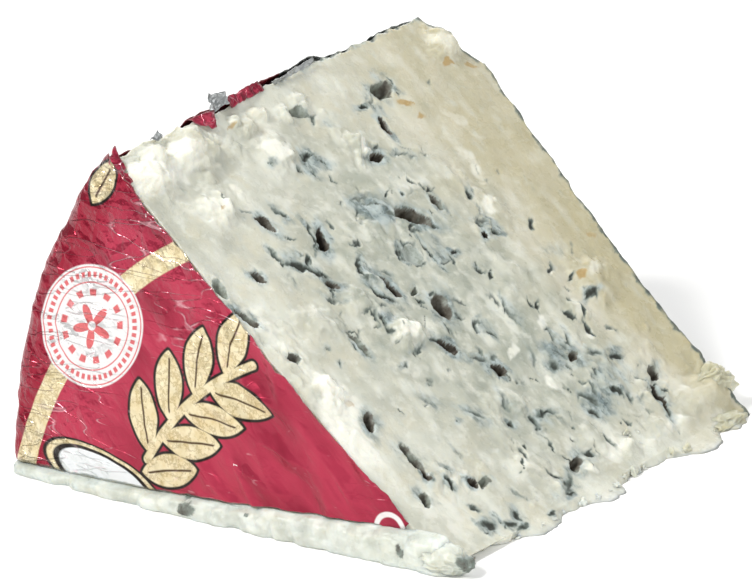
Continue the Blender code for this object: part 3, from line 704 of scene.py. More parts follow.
def paste_material(name, tint):
    """Moist curd: light goes a few millimetres in, so it is milky, with a faint wet shine where smooth."""
    material, tree, shader, add = new_material(name)
    place = add("TexCoord", out="Object")
    along_cut = add("Mapping", {"Vector": place, "Rotation": (-WEDGE_ANGLE, 0.0, 0.0)})
    smeared = add("Mapping", {"Vector": along_cut, "Scale": (1.0, 1.0 / SMEAR_STRETCH, 1.0)})
    own = {field: add("Attribute", out="Fac", attribute_name=field) for field in CURD_FIELDS}
    noises = {}
    for vector, table in ((place, CURD_CLOUDS), (smeared, CURD_SMEARS)):
        for kind, (size, detail, rough) in table.items():
            look = {"Scale": 1.0 / (size * MM), "Detail": detail, "Roughness": rough}
            noises[kind] = add("TexNoise", {"Vector": vector, **look})
    broad, middle, fine, streak = (noises[kind] for kind in ("broad", "middle", "fine", "streak"))
    warm = own["warm"]

    def spread(amount, pattern, share, low, high, top=1.0):
        """How far an amount has spread: 0 at low and top at high, with a border that a pattern breaks up."""
        broken = add("MULTIPLY_ADD", pattern, share, amount)
        return add("MapRange", broken, low, high, 0.0, top, **SMOOTH)

    # The curd itself: pale at the near face, duller in the middle and yellow towards the far rind
    cloudy = add("MapRange", broad, 0.35, 0.65, **SMOOTH)
    pale = add("Mix", {0: cloudy, 6: "bcbdaf", 7: "d3d4c7"}, **MIXED)
    creamy = add("MapRange", noises["creamy"], 0.45, 0.7, 0.0, 0.6, **SMOOTH)
    pale = add("Mix", {0: creamy, 6: pale, 7: "cfcbb6"}, **MIXED)
    greyed = add("MapRange", noises["greyed"], 0.34, 0.66, **SMOOTH)
    dull = add("Mix", {0: greyed, 6: "9fa497", 7: "bdbfb1"}, **MIXED)
    pale = add("Mix", {0: spread(own["dull"], broad, 0.6, 0.35, 1.25, 0.9), 6: pale, 7: dull}, **MIXED)
    yellowed = add("MapRange", noises["yellowed"], 0.34, 0.66, **SMOOTH)
    yellow = add("Mix", {0: yellowed, 6: "bdb9a1", 7: "d0ccb9"}, **MIXED)
    yellow = add("Mix", {0: spread(warm, broad, 0.3, 0.9, 1.25), 6: yellow, 7: "b9b293"}, **MIXED)
    tone = add("Mix", {0: spread(warm, noises["warming"], 0.9, 0.5, 1.45), 6: pale, 7: yellow}, **MIXED)

    # White smears, crumbs and lumps, which are weaker where the curd is yellow
    whitened = add("MapRange", noises["whitened"], 0.5, 0.72, **SMOOTH)
    whitened = add("MULTIPLY", whitened, add("MULTIPLY_ADD", warm, -0.45, 0.75))
    curdled = add("MapRange", noises["curdled"], 0.52, 0.72, **SMOOTH)
    curdled = add("MULTIPLY", curdled, add("MULTIPLY_ADD", warm, -0.25, 0.4))
    curd = add("MULTIPLY", spread(own["curd"], middle, 0.7, 0.5, 1.1), add("MULTIPLY_ADD", warm, -0.3, 0.92))

    # Blue patches with flecks and grit of mould in them, seams, dried whey and the floors of the eyes, whose
    # dark is partly painted shade
    veined = add("MULTIPLY_ADD", add("SUBTRACT", streak, 0.5), 1.5, own["patch"])
    blue = add("Mix", {0: spread(middle, streak, 0.5, 0.62, 0.88), 6: "78888a", 7: "b6c2c1"}, **MIXED)
    deep = add("MapRange", veined, 0.7, 1.4, 0.0, 0.6, **SMOOTH)
    blue = add("Mix", {0: deep, 6: blue, 7: "6f7f7e"}, **MIXED)
    vein = add("MapRange", veined, 0.05, 1.1, 0.0, 0.95, **SMOOTH)
    fleck = add("MapRange", noises["fleck"], 0.5, 0.62, 0.0, 0.65, **SMOOTH)
    fleck = add("MULTIPLY", fleck, add("MapRange", veined, 0.25, 0.85, **SMOOTH))
    grit = add("MapRange", noises["grit"], 0.55, 0.66, 0.0, 0.5, **SMOOTH)
    grit = add("MULTIPLY", grit, add("MapRange", veined, 0.35, 0.95, **SMOOTH))
    seam = spread(own["seam"], middle, 0.7, 0.42, 0.92)
    mould = add("Mix", {0: spread(own["seam"], fine, 0.5, 0.5, 1.05), 6: "6f7a73", 7: "292d26"}, **MIXED)
    amber = spread(own["amber"], middle, 0.6, 0.5, 1.1, 0.85)
    blotch = add("SUBTRACT", add("MULTIPLY_ADD", fine, 0.6, middle), 0.8)
    floor = add("ValToRGB", add("MULTIPLY_ADD", blotch, 0.9, own["black"]))
    stops = floor.node.color_ramp.elements
    for stop, (position, code) in zip(stops, (SHALLOW_FLOOR, DEEP_FLOOR)):
        stop.position = position
        stop.color = colour(code)
    for position, code in FLOORS_BETWEEN:
        stops.new(position).color = colour(code)
    eye = spread(own["eye"], add("SUBTRACT", fine, 0.5), 0.8, 0.25, 0.75)

    for share, over in (
        (whitened, "dedfd3"),
        (curdled, "e1e2d7"),
        (curd, "edede2"),
        (vein, blue),
        (fleck, "5c6965"),
        (grit, "3f4a46"),
        (seam, mould),
        (amber, "ae9259"),
        (eye, floor),
    ):
        tone = add("Mix", {0: share, 6: tone, 7: over}, **MIXED)
    tone = add("Mix", {0: 1.0, 6: tone, 7: tint}, blend_type="MULTIPLY", **MIXED)
    tree.links.new(tone, shader.inputs["Base Color"])

    dark = add("MAXIMUM", eye, seam)
    rough = add("MapRange", middle, 0.3, 0.7, 0.2, 0.42, **SMOOTH)
    rough = add("MULTIPLY_ADD", own["crumbly"], 0.1, rough)
    tree.links.new(add("MULTIPLY_ADD", dark, 0.3, rough), shader.inputs["Roughness"])
    milky = add("MapRange", dark, 0.0, 1.0, 0.7, 0.05, **SMOOTH)
    tree.links.new(milky, shader.inputs["Subsurface Weight"])
    shader.inputs["Subsurface Radius"].default_value = (1.0, 0.86, 0.66)
    shader.inputs["Subsurface Scale"].default_value = 1.8 * MM
    shader.inputs["IOR"].default_value = 1.45
    height = add("MULTIPLY_ADD", fine, 0.6, add("MULTIPLY", noises["speck"], 0.35))
    strength = add("MULTIPLY_ADD", own["crumbly"], 0.5, 0.25)
    bump = add("Bump", {"Height": height, "Strength": strength, "Distance": 0.35 * MM}, out="Normal")
    tree.links.new(bump, shader.inputs["Normal"])
    return material


def wedge_piece(material):
    marbled = 1.0 - PLAIN_SHARE
    fine = np.linspace(0.0, marbled, round(marbled * SHOULDER_HEIGHT / CUT_STEP))
    coarse = np.linspace(marbled, 1.0, round(PLAIN_SHARE * SHOULDER_HEIGHT / CUT_STEP / PLAIN_STEPS))
    u = np.concatenate((fine, coarse[1:]))
    v = np.linspace(0.0, 1.0, round(WHEEL_RADIUS / CUT_STEP))
    w = 1.0 - (1.0 - np.linspace(0.0, 1.0, SIDE_LAYERS + 1)) ** 2
    one, none = np.ones(1), np.zeros(1)
    points, faces, fields, count = [], [], {}, 0
    for su, sv, sw in ((u, v, one), (none, v, w), (one, v, w), (u, one, w), (u, none, w)):
        gu, gv, gw = np.meshgrid(su, sv, sw, indexing="ij")
        fade = gw**4
        place = wedge_points(gu, gv, gw) + cut_shift(gu, gv) * fade[..., None]
        toe = gv == 0.0
        drawing = marbling(place[..., 0], gv * WHEEL_RADIUS - np.where(toe, 3.0 * (1.0 - gw), 0.0))
        for name, values in drawing.items():
            fields.setdefault(name, []).append((values * np.where(toe, 1.0, fade)).ravel())
        index = count + np.arange(gu.size).reshape([size for size in gu.shape if size > 1])
        faces.extend(grid_faces(index))
        points.append(place.reshape(-1, 3))
        count += gu.size
    rim = np.concatenate(
        (
            np.stack((u, np.zeros_like(u))),
            np.stack((np.ones_like(v), v)),
            np.stack((u[::-1], np.ones_like(u))),
            np.stack((np.zeros_like(v), v[::-1])),
        ),
        axis=1,
    )
    steps = np.abs(np.diff(rim, axis=1)).sum(axis=0) > 0.0
    rim = rim[:, :-1][:, steps]
    points.append(wedge_points(rim[0], rim[1], 0.0))
    faces.append(np.arange(count, count + rim.shape[1]))
    for values in fields.values():
        values.append(np.zeros(rim.shape[1]))
    points = np.concatenate(points)
    fields = {name: np.concatenate(values) for name, values in fields.items()}
    points, faces, fields = welded(points, faces, fields)
    return new_piece("paste_wedge", points, faces, fields, "ivory_paste", "cheese", material)


wedge_piece(paste_material("pressed_ewes_milk_curd", "f9f9f9"))

# The lip, paste that has squeezed out below the printed foil and crumbled. It runs along the near face's
# foot, from the rim to a finger at the axis.
LIP_AXIS_HEIGHT = 6.3
LIP_RIM_HEIGHT = 2.0
LIP_AXIS_REACH = 3.2
LIP_RIM_REACH = 2.1
LIP_STEP = 0.4
LIP_ROUND = 30
LIP_SPAN = (-2.0, 97.2)
LIP_OUTLINE = ((-0.1, 1.06), (0.55, 0.97), (0.86, 0.82), (1.0, 0.56), (0.98, 0.28), (0.86, 0.0), (-0.1, 0.0))
# Where a flake has broken off its front
Step = namedtuple("Step", "y fade drop")
LIP_STEPS = (
    Step(83.0, 2.5, 1.0),
    Step(66.0, 1.5, 0.5),
    Step(45.0, 3.0, 0.8),
    Step(36.5, 1.5, 0.6),
    Step(14.0, 2.0, 0.6),
)

# Spots of mould on the lip, at their height above the table and place along it
LIP_SPOTS = (
    Mark(1.9, 54.6, 3.0, 4.6, 10, 0.0, 0.42),
    Mark(4.0, 55.6, 1.8, 2.4, 0, 0.0, 0.3),
    Mark(3.4, 41.5, 1.0, 1.5, 0, 0.0, 0.3),
    Mark(3.2, 9.0, 3.0, 1.0, 20, 0.0, 0.5),
)


def lip_height(r):
    return mix(LIP_AXIS_HEIGHT, LIP_RIM_HEIGHT, ease(4.0, 88.0, r))


def lip_piece(material):
    y = np.arange(*LIP_SPAN, LIP_STEP)
    share = np.linspace(0.0, 1.0, LIP_ROUND)
    outline = np.array(LIP_OUTLINE)
    length = np.concatenate(([0.0], np.cumsum(np.hypot(*np.diff(outline, axis=0).T))))
    ox = np.interp(share * length[-1], length, outline[:, 0])
    oz = np.interp(share * length[-1], length, outline[:, 1])
    swell = 0.6 * grain(7.7, y / 5.0, 0.0)
    reach = mix(LIP_AXIS_REACH, LIP_RIM_REACH, np.clip(y / WHEEL_RADIUS, 0.0, 1.0)) + swell
    for step in LIP_STEPS:
        reach = reach - step.drop * (1.0 - ease(0.0, step.fade, abs(y - step.y)))
    height = lip_height(y) * (1.0 - 0.1 * abs(swell))
    end = ease(-2.0, 1.5, y) * ease(97.4, 95.8, y)
    gy, gx = np.meshgrid(y, ox, indexing="ij")
    gz = np.broadcast_to(oz, gx.shape) * (height * end)[:, None]
    gx = gx * (reach * end)[:, None]
    run = gz + gx
    crumb = 0.35 * grains(4.4, gy / 3.6, run / 2.6) + 0.25 * grains(9.4, gy / 1.4, run / 1.2) - 0.3
    crumb += 0.4 * grain(15.0, gy / 3.0, (gz - gx) / 1.8) - 0.35 * crease(18.0, gy / 8.0, run / 2.6)
    size = np.clip(height / 3.5, 0.35, 1.0)[:, None]
    inner = np.broadcast_to(share, gx.shape)
    loose = ease(0.0, 0.25, inner) * ease(1.0, 0.85, inner) * size * end[:, None]
    gx = gx + crumb * loose
    gz = np.maximum(gz + 0.5 * crumb * loose, 0.05)
    x = near_face_x(np.clip(gy, 0.0, WHEEL_RADIUS)) - gx
    points = np.stack((x, gy, gz), axis=-1).reshape(-1, 3)
    index = np.arange(gx.size).reshape(gx.shape)
    faces = list(grid_faces(index))
    faces.extend(grid_faces(np.concatenate((index[:, -1:], index[:, :1]), axis=1)))
    faces.append(index[0])
    faces.append(index[-1][::-1])
    zero = np.zeros(gx.size)
    spot, tone = drawn(LIP_SPOTS, *strayed(gz.ravel(), gy.ravel(), 1.5, 0.5), 0.4, 1.3)
    fields = {
        "patch": 0.3 * ease(60.0, 92.0, gy).ravel(),
        "eye": spot,
        "black": tone,
        "curd": 0.3 + zero,
        "crumbly": 0.7 + zero,
        "seam": zero,
        "amber": zero,
        "warm": zero,
        "dull": zero,
    }
    return new_piece("paste_lip", points, faces, fields, "ivory_paste", "cheese", material)


# A little colder than the curd of the cut
lip_piece(paste_material("squeezed_out_curd", "f3f9ff"))

# Lumps and crumbs of the same curd, broken off when the wire left the wheel. Three large ones sit at the
# corners of the thin edge, and small ones lie loose on the borders of the cut and stick by their moisture.
# Their middles and sizes are in millimetres.
Block = namedtuple("Block", "x y z length width height roughness mould")
BLOCKS = (
    Block(-0.4, 1.4, 2.8, 6.6, 11.4, 5.6, 0.35, 0.4),
    Block(88.0, 6.4, 5.4, 11.6, 7.0, 6.6, 0.55, 0.0),
    Block(84.0, 1.4, 0.4, 13.0, 6.4, 3.2, 0.45, 0.0),
)
CRUMB_COUNT = 56
CRUMB_SEED = 7


def on_cut(x, r, height):
    """A point that stands above the upper cut."""
    y = r * math.cos(WEDGE_ANGLE) - height * math.sin(WEDGE_ANGLE)
    return np.array((x, y, r * math.sin(WEDGE_ANGLE) + height * math.cos(WEDGE_ANGLE)))


def lump_mesh(detail):
    ball = bmesh.new()
    bmesh.ops.create_icosphere(ball, subdivisions=detail, radius=0.5)
    points = np.array([v.co[:] for v in ball.verts])
    faces = [[v.index for v in face.verts] for face in ball.faces]
    ball.free()
    return points, faces


def crumbled(points, size, seed, roughness):
    """A ball pushed in and out by noise until it is a broken lump, scaled to its size."""
    pushed = []
    for p in points:
        swell = noise.noise((p[0] * 2.6 + seed, p[1] * 2.6, p[2] * 2.6))
        knob = abs(noise.noise((p[0] * 5.0, p[1] * 5.0 + seed, p[2] * 5.0)))
        grit = noise.noise((p[0] * 15.0, p[1] * 15.0, p[2] * 15.0 + seed))
        pushed.append(1.0 + roughness * (0.8 * swell - 0.7 * knob + 0.12 * grit))
    return points * np.array(pushed)[:, None] * np.array(size)


def lumps_piece(material):
    points, faces, dark = [], [], []
    count = 0

    def put(ball, size, middle, seed, roughness, mould=0.0):
        nonlocal count
        shape = crumbled(ball[0], size, seed, roughness) + middle
        shape[:, 2] = np.maximum(shape[:, 2], 0.05)
        points.append(shape)
        faces.extend([[count + number for number in face] for face in ball[1]])
        dark.append(mould * ease(-1.6, -3.8, shape[:, 1]))
        count += len(shape)

    for number, lump in enumerate(BLOCKS):
        size, middle = (lump.length, lump.width, lump.height), np.array((lump.x, lump.y, lump.z))
        put(lump_mesh(5), size, middle, 3.0 * number, lump.roughness, lump.mould)
    chance = np.random.default_rng(CRUMB_SEED)
    ball = lump_mesh(3)
    for number in range(CRUMB_COUNT):
        size = chance.uniform(0.6, 1.0) * chance.uniform(1.0, 2.2) * chance.uniform(0.5, 1.3, 3)
        border = chance.random()
        if border < 0.15:
            r = 92.6 - abs(chance.normal(0.0, 3.0))
            middle = on_cut(chance.uniform(3.0, 20.0), r, chance.uniform(-0.4, 0.6))
        elif border < 0.7:
            x = chance.uniform(3.0, 89.0)
            middle = np.array((x, -0.4 * float(toe_reach(np.array([x]))[0]), chance.uniform(0.0, 1.0)))
        else:
            middle = on_cut(chance.uniform(60.0, 88.0), chance.uniform(1.0, 9.0), chance.uniform(-0.6, -0.1))
        put(ball, size, middle, 11.0 + number, 0.9)
    points, dark = np.concatenate(points), np.concatenate(dark)
    zero = np.zeros(len(points))
    warm = ease(20.0, 80.0, points[:, 0])
    fields = {"eye": dark / 0.4, "black": dark, "curd": 0.15 + zero, "crumbly": 0.8 + zero, "warm": warm}
    fields.update({name: zero for name in ("patch", "seam", "amber", "dull")})
    return new_piece("paste_crumbs", points, faces, fields, "ivory_paste", "cheese", material)


# As cold as the lip, and lighter
lumps_piece(paste_material("broken_off_curd", "f5faff"))

# The foil, one sheet of thin aluminium printed crimson, gold and white, pressed round the wheel before it
# was cut. It covers the near face, the rim and the far face, and its creases come from folding it over the
# rim.
# How far it stands off the paste, and how far its lower edge stands above the lip and the table
FOIL_GAP = 0.5
FOIL_THICKNESS = 0.1
FOIL_LIP_CLEARANCE = 0.35
FOIL_FOOT = 2.4
FOIL_TIP_RADIUS = 11.6
FOIL_FAR_RADIUS = 16.0
FOIL_OVERHANG = 0.4
FOIL_TORN_SPAN = (3.0, 20.0)
FOIL_PROUD_END = 46.0
FOIL_PRINT_END = 48.0
FOIL_COLUMNS = 125
FOIL_STEPS = (0.6, 0.8, 1.6)

# The print on the flat face, by its place along the table and its height above it
BAND_CENTRE = (13.3, -22.4)
BAND_RADIUS = 83.5
BAND_WIDTH = 4.2
SEAL_CENTRE = (76.5, 31.3)
SEAL_HALF = (13.0, 10.6)
SEAL_TURN = math.radians(132.0)
SEAL_DASHES = 46.0
SEAL_PETALS = 5.0
SEAL_BEADS = 13.0
WHITE_OVAL = ((74.5, 2.6), (11.0, 4.3), math.radians(14.0))
CURL_CENTRE = (12.4, 6.0)
CURL_RADIUS = 2.7
SPRAY_RADIUS = 60.0
SPRAY_LEAVES = 8
SPRAY_SPAN = (math.radians(31.0), math.radians(63.0))
Leaf = namedtuple("Leaf", "y z length width turn")
TIP_LEAF = Leaf(73.0, 59.0, 10.0, 4.4, math.radians(120.0))


def foil_path():
    """Points (x, r) from the near face's tip round the rim to the far face, and the way walked to each."""
    near, rim, far = FOIL_STEPS
    r = np.arange(FOIL_TIP_RADIUS, WHEEL_RADIUS - NEAR_SHOULDER[1], near)
    parts = [np.stack((near_face_x(r), r))]
    turn = np.linspace(0.0, math.pi / 2.0, 8)[:-1]
    shoulder_x = NEAR_SHOULDER[0] * (1.0 - np.cos(turn))
    shoulder_r = WHEEL_RADIUS - NEAR_SHOULDER[1] * (1.0 - np.sin(turn))
    parts.append(np.stack((shoulder_x, shoulder_r)))
    x = np.arange(3.0, 91.6, rim)
    parts.append(np.stack((x, np.full(x.shape, WHEEL_RADIUS))))
    shoulder = np.arange(WHEEL_RADIUS, WHEEL_RADIUS - 14.0, -rim)
    back = np.concatenate((shoulder, np.arange(82.0, FOIL_FAR_RADIUS, -far)))
    parts.append(np.stack((far_face_x(back, 0.0), back)))
    path = np.concatenate(parts, axis=1)
    gaps = np.hypot(*np.diff(path, axis=1))
    return path, FOIL_TIP_RADIUS + np.concatenate(([0.0], np.cumsum(gaps)))


def foil_relief(path_length, arc, turn):
    """How far the foil stands off its smooth path, in millimetres."""
    bent = 1.6 * grain(1.7, path_length / 9.0, arc / 9.0)
    walk, climb = path_length + bent, arc - bent
    broad = 0.3 * grain(2.0, path_length / 17.0, arc / 12.0)
    near_tip = ease(0.46, 0.64, turn) * ease(50.0, 70.0, path_length)
    rough = np.clip(ease(76.0, 92.0, path_length) + near_tip, 0.0, 1.0)
    fold = 0.24 * crease(5.0, walk / 12.0, climb / 8.0)
    fold += mix(0.03, 0.16, rough) * crease(8.0, walk / 4.6, climb / 3.8)
    over_rim = ease(80.0, 93.0, path_length) * (0.6 + 0.6 * grain(9.0, 0.0, arc / 9.0))
    pleats = 0.34 * over_rim * crease(11.0, walk / 30.0, arc / 5.2)
    tip = ease(0.5, 0.68, turn) * ease(58.0, 76.0, path_length)
    pleats += 0.4 * tip * crease(14.0, walk / 4.2, climb / 12.0)
    near_axis = ease(70.0, 48.0, path_length) * ease(14.0, 24.0, path_length)
    ridges = 0.85 * near_axis * crease(17.0, (path_length - arc) / 7.0, (path_length + arc) / 26.0)
    return np.clip(broad + fold + pleats + ridges - 0.42, -0.42, 0.8)


def spray_leaves():
    """Leaves to both sides of an arc, as a printed branch."""
    leaves = []
    for number in range(SPRAY_LEAVES):
        share = (number + 0.5) / SPRAY_LEAVES
        turn = mix(*SPRAY_SPAN, share)
        side = 1.0 if number % 2 else -1.0
        radius = SPRAY_RADIUS + side * 5.0
        y = BAND_CENTRE[0] + radius * math.cos(turn)
        z = BAND_CENTRE[1] + radius * math.sin(turn)
        leaves.append(Leaf(y, z, 13.5, 6.0, turn + math.pi / 2.0 - side * 0.75))
    return leaves + [TIP_LEAF]


def leaf_distance(leaf, y, z):
    """Distance from a pointed leaf's outline, less than 0 inside it, and from its midrib."""
    dy, dz = y - leaf.y, z - leaf.z
    along = dy * math.cos(leaf.turn) + dz * math.sin(leaf.turn)
    across = dz * math.cos(leaf.turn) - dy * math.sin(leaf.turn)
    half, wide = leaf.length / 2.0, leaf.width / 2.0
    bow = (half**2 - wide**2) / (2.0 * wide)
    return np.hypot(along, abs(across) + bow) - (wide + bow), across - 0.05 * along * along / half


def print_fields(y, z):
    """The printed branch: distance to the nearest leaf's outline, to its midrib and to the stem."""
    outline, rib = np.full(y.shape, 9.0), np.full(y.shape, 9.0)
    for leaf in spray_leaves():
        distance, across = leaf_distance(leaf, y, z)
        rib = np.where(distance < outline, across, rib)
        outline = np.minimum(outline, distance)
    dy, dz = y - BAND_CENTRE[0], z - BAND_CENTRE[1]
    turn = np.arctan2(dz, dy)
    beyond = np.maximum(np.maximum(SPRAY_SPAN[0] - turn, turn - SPRAY_SPAN[1]), 0.0) * SPRAY_RADIUS
    stem = np.hypot(np.hypot(dy, dz) - SPRAY_RADIUS, beyond) - 0.8
    return {"leaf": outline, "rib": rib, "stem": stem, "print_y": y, "print_z": z}


# Noise in the foil, from dents to the grain of the print: size in millimetres, detail and roughness
FOIL_CLOUDS = {
    "dented": (8.0, 2.0, 0.5),
    "shoulder": (7.0, 3.0, 0.55),
    "satin": (6.0, 3.0, 0.55),
    "crinkle": (3.2, 4.0, 0.7),
    "crease_glints": (3.0, 2.0, 0.5),
    "gilt": (2.4, 3.0, 0.6),
    "fine": (1.6, 2.0, 0.5),
    "chipped": (1.0, 2.0, 0.55),
}
FOIL_DRAPE = 6.5
FOIL_FACET = 8.0
FOIL_BEND = 6.25
FOIL_FIELDS = ("print_y", "print_z", "leaf", "rib", "stem", "worn", "creased", "edge", "silver")
OUTLINE_INK = "1d1612"


def foil_material():
    """Lacquered print on aluminium: a satin metal under the colours, with painted highlights along its
    creases.
    """
    material, tree, shader, add = new_material("printed_aluminium_foil")
    place = add("TexCoord", out="Object")
    own = {field: add("Attribute", out="Fac", attribute_name=field) for field in FOIL_FIELDS}
    noises = {}
    for kind, (size, detail, rough) in FOIL_CLOUDS.items():
        look = {"Scale": 1.0 / (size * MM), "Detail": detail, "Roughness": rough}
        noises[kind] = add("TexNoise", {"Vector": place, **look})
    y, z = own["print_y"], own["print_z"]

    def within(value, limit, soft=0.12):
        """1 where a value is less than its limit and 0 beyond, with a soft edge."""
        return add("MapRange", value, limit - soft, limit + soft, 1.0, 0.0)

    def ring(value, middle, half, soft):
        """1 where a value is near its middle one and 0 beyond, with soft edges."""
        return within(add("ABSOLUTE", add("SUBTRACT", value, middle)), half, soft)

    def oval(middle, half=(1.0, 1.0), turn=0.0):
        """The reach from an oval's middle, 1 on its outline, and the angle round it."""
        dy, dz = add("SUBTRACT", y, middle[0]), add("SUBTRACT", z, middle[1])
        cos, sin = math.cos(turn), math.sin(turn)
        along = add("ADD", add("MULTIPLY", dy, cos / half[0]), add("MULTIPLY", dz, sin / half[0]))
        across = add("SUBTRACT", add("MULTIPLY", dz, cos / half[1]), add("MULTIPLY", dy, sin / half[1]))
        reach = add("SQRT", add("ADD", add("MULTIPLY", along, along), add("MULTIPLY", across, across)))
        return reach, add("ARCTAN2", across, along)

    def stroke(turn, size, soft):
        """Long thin folds that run mostly one way."""
        laid = add("Mapping", {"Vector": place, "Rotation": turn, "Scale": (1.0, 0.22, 1.0)})
        waves = {"Vector": laid, "Scale": 1.0 / (size * MM), "Detail": 1.0}
        return ring(add("TexNoise", waves), 0.5, 0.002, soft)

    # Crimson ground with painted shade, darker in soft folds that lean and where it turns over the rim, and
    # crinkled gold with painted shade in its crinkles
    leaning = add("Mapping", {"Vector": place, "Rotation": (-math.pi / 4.0, 0.0, 0.0)})
    leaning = add("Mapping", {"Vector": leaning, "Scale": (1.0, 0.3, 1.0)})
    drape = {"Vector": leaning, "Scale": 1.0 / (FOIL_DRAPE * MM), "Detail": 3.0, "Roughness": 0.5}
    drape = add("TexNoise", drape)
    # Painted shade: the leaning folds are darker crimson
    crimson = add("Mix", {0: add("MapRange", drape, 0.36, 0.6), 6: "8b1933", 7: "ad304a"}, **MIXED)
    from_axis = oval((0.0, 0.0))[0]
    # Painted shade: the crimson is darker beyond the flat face, where the foil turns over the rim
    flat_face = within(add("MULTIPLY_ADD", noises["shoulder"], 4.0, from_axis), 90.5, 3.0)
    crimson = add("Mix", {0: flat_face, 6: "8c0f2b", 7: crimson}, **MIXED)
    gold = add("Mix", {0: within(noises["gilt"], 0.5, 0.2), 6: "e4dabb", 7: "d0bf92"}, **MIXED)
    # Painted shade: the gold's crinkle lines are painted darker
    crinkle = add("MULTIPLY", ring(noises["crinkle"], 0.5, 0.02, 0.03), 0.6)
    gold = add("Mix", {0: crinkle, 6: gold, 7: "8e7743"}, **MIXED)
    band = ring(oval(BAND_CENTRE)[0], BAND_RADIUS, BAND_WIDTH / 2.0, 0.12)
    branch = add("MINIMUM", own["leaf"], own["stem"])
    rib = add("MULTIPLY", within(add("ABSOLUTE", own["rib"]), 0.2), within(own["leaf"], -0.9))

    # The seal: two rings, dashes, beads and a flower, by their share of its radius
    radius, angle = oval(SEAL_CENTRE, SEAL_HALF, SEAL_TURN)
    seal = within(radius, 1.0, 0.012)
    rings = add("MAXIMUM", ring(radius, 0.955, 0.011, 0.008), ring(radius, 0.71, 0.011, 0.008))
    dashes = within(add("SINE", add("MULTIPLY", angle, SEAL_DASHES)), 0.2, 0.25)
    dashes = add("MULTIPLY", dashes, ring(radius, 0.835, 0.045, 0.012))
    petal = add("MULTIPLY_ADD", add("COSINE", add("MULTIPLY", angle, SEAL_PETALS)), 0.14, 0.24)
    flower = within(add("SUBTRACT", radius, petal), 0.0, 0.012)
    flower = add("MULTIPLY", flower, add("SUBTRACT", 1.0, within(radius, 0.075, 0.01)))
    beads = within(add("COSINE", add("MULTIPLY", angle, SEAL_BEADS)), -0.15, 0.12)
    beads = add("MULTIPLY", beads, ring(radius, 0.55, 0.055, 0.012))
    ink = add("MAXIMUM", add("MAXIMUM", rings, dashes), add("MAXIMUM", flower, beads))
    ink = add("MULTIPLY", ink, add("MULTIPLY", seal, 0.85))
    white = oval(*WHITE_OVAL)[0]
    curl = ring(oval(CURL_CENTRE)[0], CURL_RADIUS, 0.5, 0.12)

    # Wear and painted highlights: print chipped off at the scratches near the tip, painted pale as glints,
    # painted highlights along the folds, the torn edge, and bare metal beyond
    chipped = add("MULTIPLY_ADD", noises["chipped"], 0.6, -0.3)
    # Pale specks at the tip: print chipped off, with painted glints on them
    worn = add("MapRange", add("ADD", own["worn"], chipped), 0.57, 0.67)
    # Painted highlights: pale pink lines along the folds, where the lights would glint
    crease_glints = add("MULTIPLY_ADD", noises["crease_glints"], 1.1, add("MULTIPLY", own["creased"], 0.3))
    crease_glints = add("MapRange", crease_glints, 0.72, 0.88)
    crease_glints = add("MULTIPLY", crease_glints, add("MULTIPLY_ADD", flat_face, 0.55, 0.15))
    folds = add("MAXIMUM", stroke((0.3, 0.0, 0.0), 4.4, 0.011), stroke((1.3, 0.0, 0.5), 3.6, 0.009))
    edge = add("MapRange", add("ADD", own["edge"], chipped), 0.42, 0.58, 0.0, 0.3)
    grey = add("MapRange", add("ADD", own["silver"], chipped), 0.4, 0.6)

    tone = crimson
    for share, over in (
        (band, gold),
        (within(branch, 0.55), OUTLINE_INK),
        (within(branch, 0.0), gold),
        (rib, "4a3722"),
        (seal, "dcdcdc"),
        (ink, "c82c34"),
        (within(white, 1.34, 0.02), OUTLINE_INK),
        (within(white, 1.26, 0.02), gold),
        (within(white, 1.13, 0.02), OUTLINE_INK),
        (within(white, 1.0, 0.02), "dfe4e6"),
        (curl, "e6e3e2"),
        (worn, "e8e3e2"),
        (add("MULTIPLY", folds, crease_glints), "f2cdd4"),
        (edge, "a09d98"),
        (grey, "a3a6a6"),
    ):
        tone = add("Mix", {0: share, 6: tone, 7: over}, **MIXED)
    tree.links.new(tone, shader.inputs["Base Color"])

    tree.links.new(add("MULTIPLY_ADD", grey, 0.2, 0.68), shader.inputs["Metallic"])
    shader.inputs["Coat Weight"].default_value = 0.12
    shader.inputs["Coat Roughness"].default_value = 0.1
    rough = add("MULTIPLY_ADD", noises["satin"], 0.2, 0.32)
    tree.links.new(add("MULTIPLY_ADD", own["creased"], -0.12, rough), shader.inputs["Roughness"])
    bent = add("TexNoise", {"Vector": place, "Scale": 1.0 / (FOIL_BEND * MM), "Detail": 2.0}, out="Color")
    bent = add("VectorMath", {0: bent, "Scale": 5.0 * MM}, operation="SCALE")
    cells = {"Vector": add("VectorMath", place, bent, operation="ADD"), "Scale": 1.0 / (FOIL_FACET * MM)}
    facets = add("TexVoronoi", cells, out="Distance", feature="DISTANCE_TO_EDGE")
    facets = add("MapRange", facets, 0.0, 0.25, 1.0, 0.0)
    wrinkle = add("ADD", noises["dented"], add("MULTIPLY", drape, 1.4))
    wrinkle = add("ABSOLUTE", add("SUBTRACT", wrinkle, 1.2))
    fine = add("ABSOLUTE", add("SUBTRACT", noises["fine"], 0.5))
    crisp = add("MULTIPLY_ADD", facets, 0.5, add("MULTIPLY", folds, 0.25))
    crisp = add("MULTIPLY_ADD", fine, 0.4, crisp)
    height = add("MULTIPLY_ADD", wrinkle, 1.1, add("MULTIPLY", crisp, own["creased"]))
    bump = add("Bump", {"Height": height, "Strength": 0.9, "Distance": 0.9 * MM}, out="Normal")
    tree.links.new(bump, shader.inputs["Normal"])
    tree.links.new(bump, shader.inputs["Coat Normal"])
    return material


def solidified(piece, thickness):
    modifier = piece.modifiers.new("thickness", "SOLIDIFY")
    modifier.thickness = thickness * MM
    modifier.offset = 0.0
    with bpy.context.temp_override(object=piece, active_object=piece, selected_objects=[piece]):
        bpy.ops.object.modifier_apply(modifier="thickness")


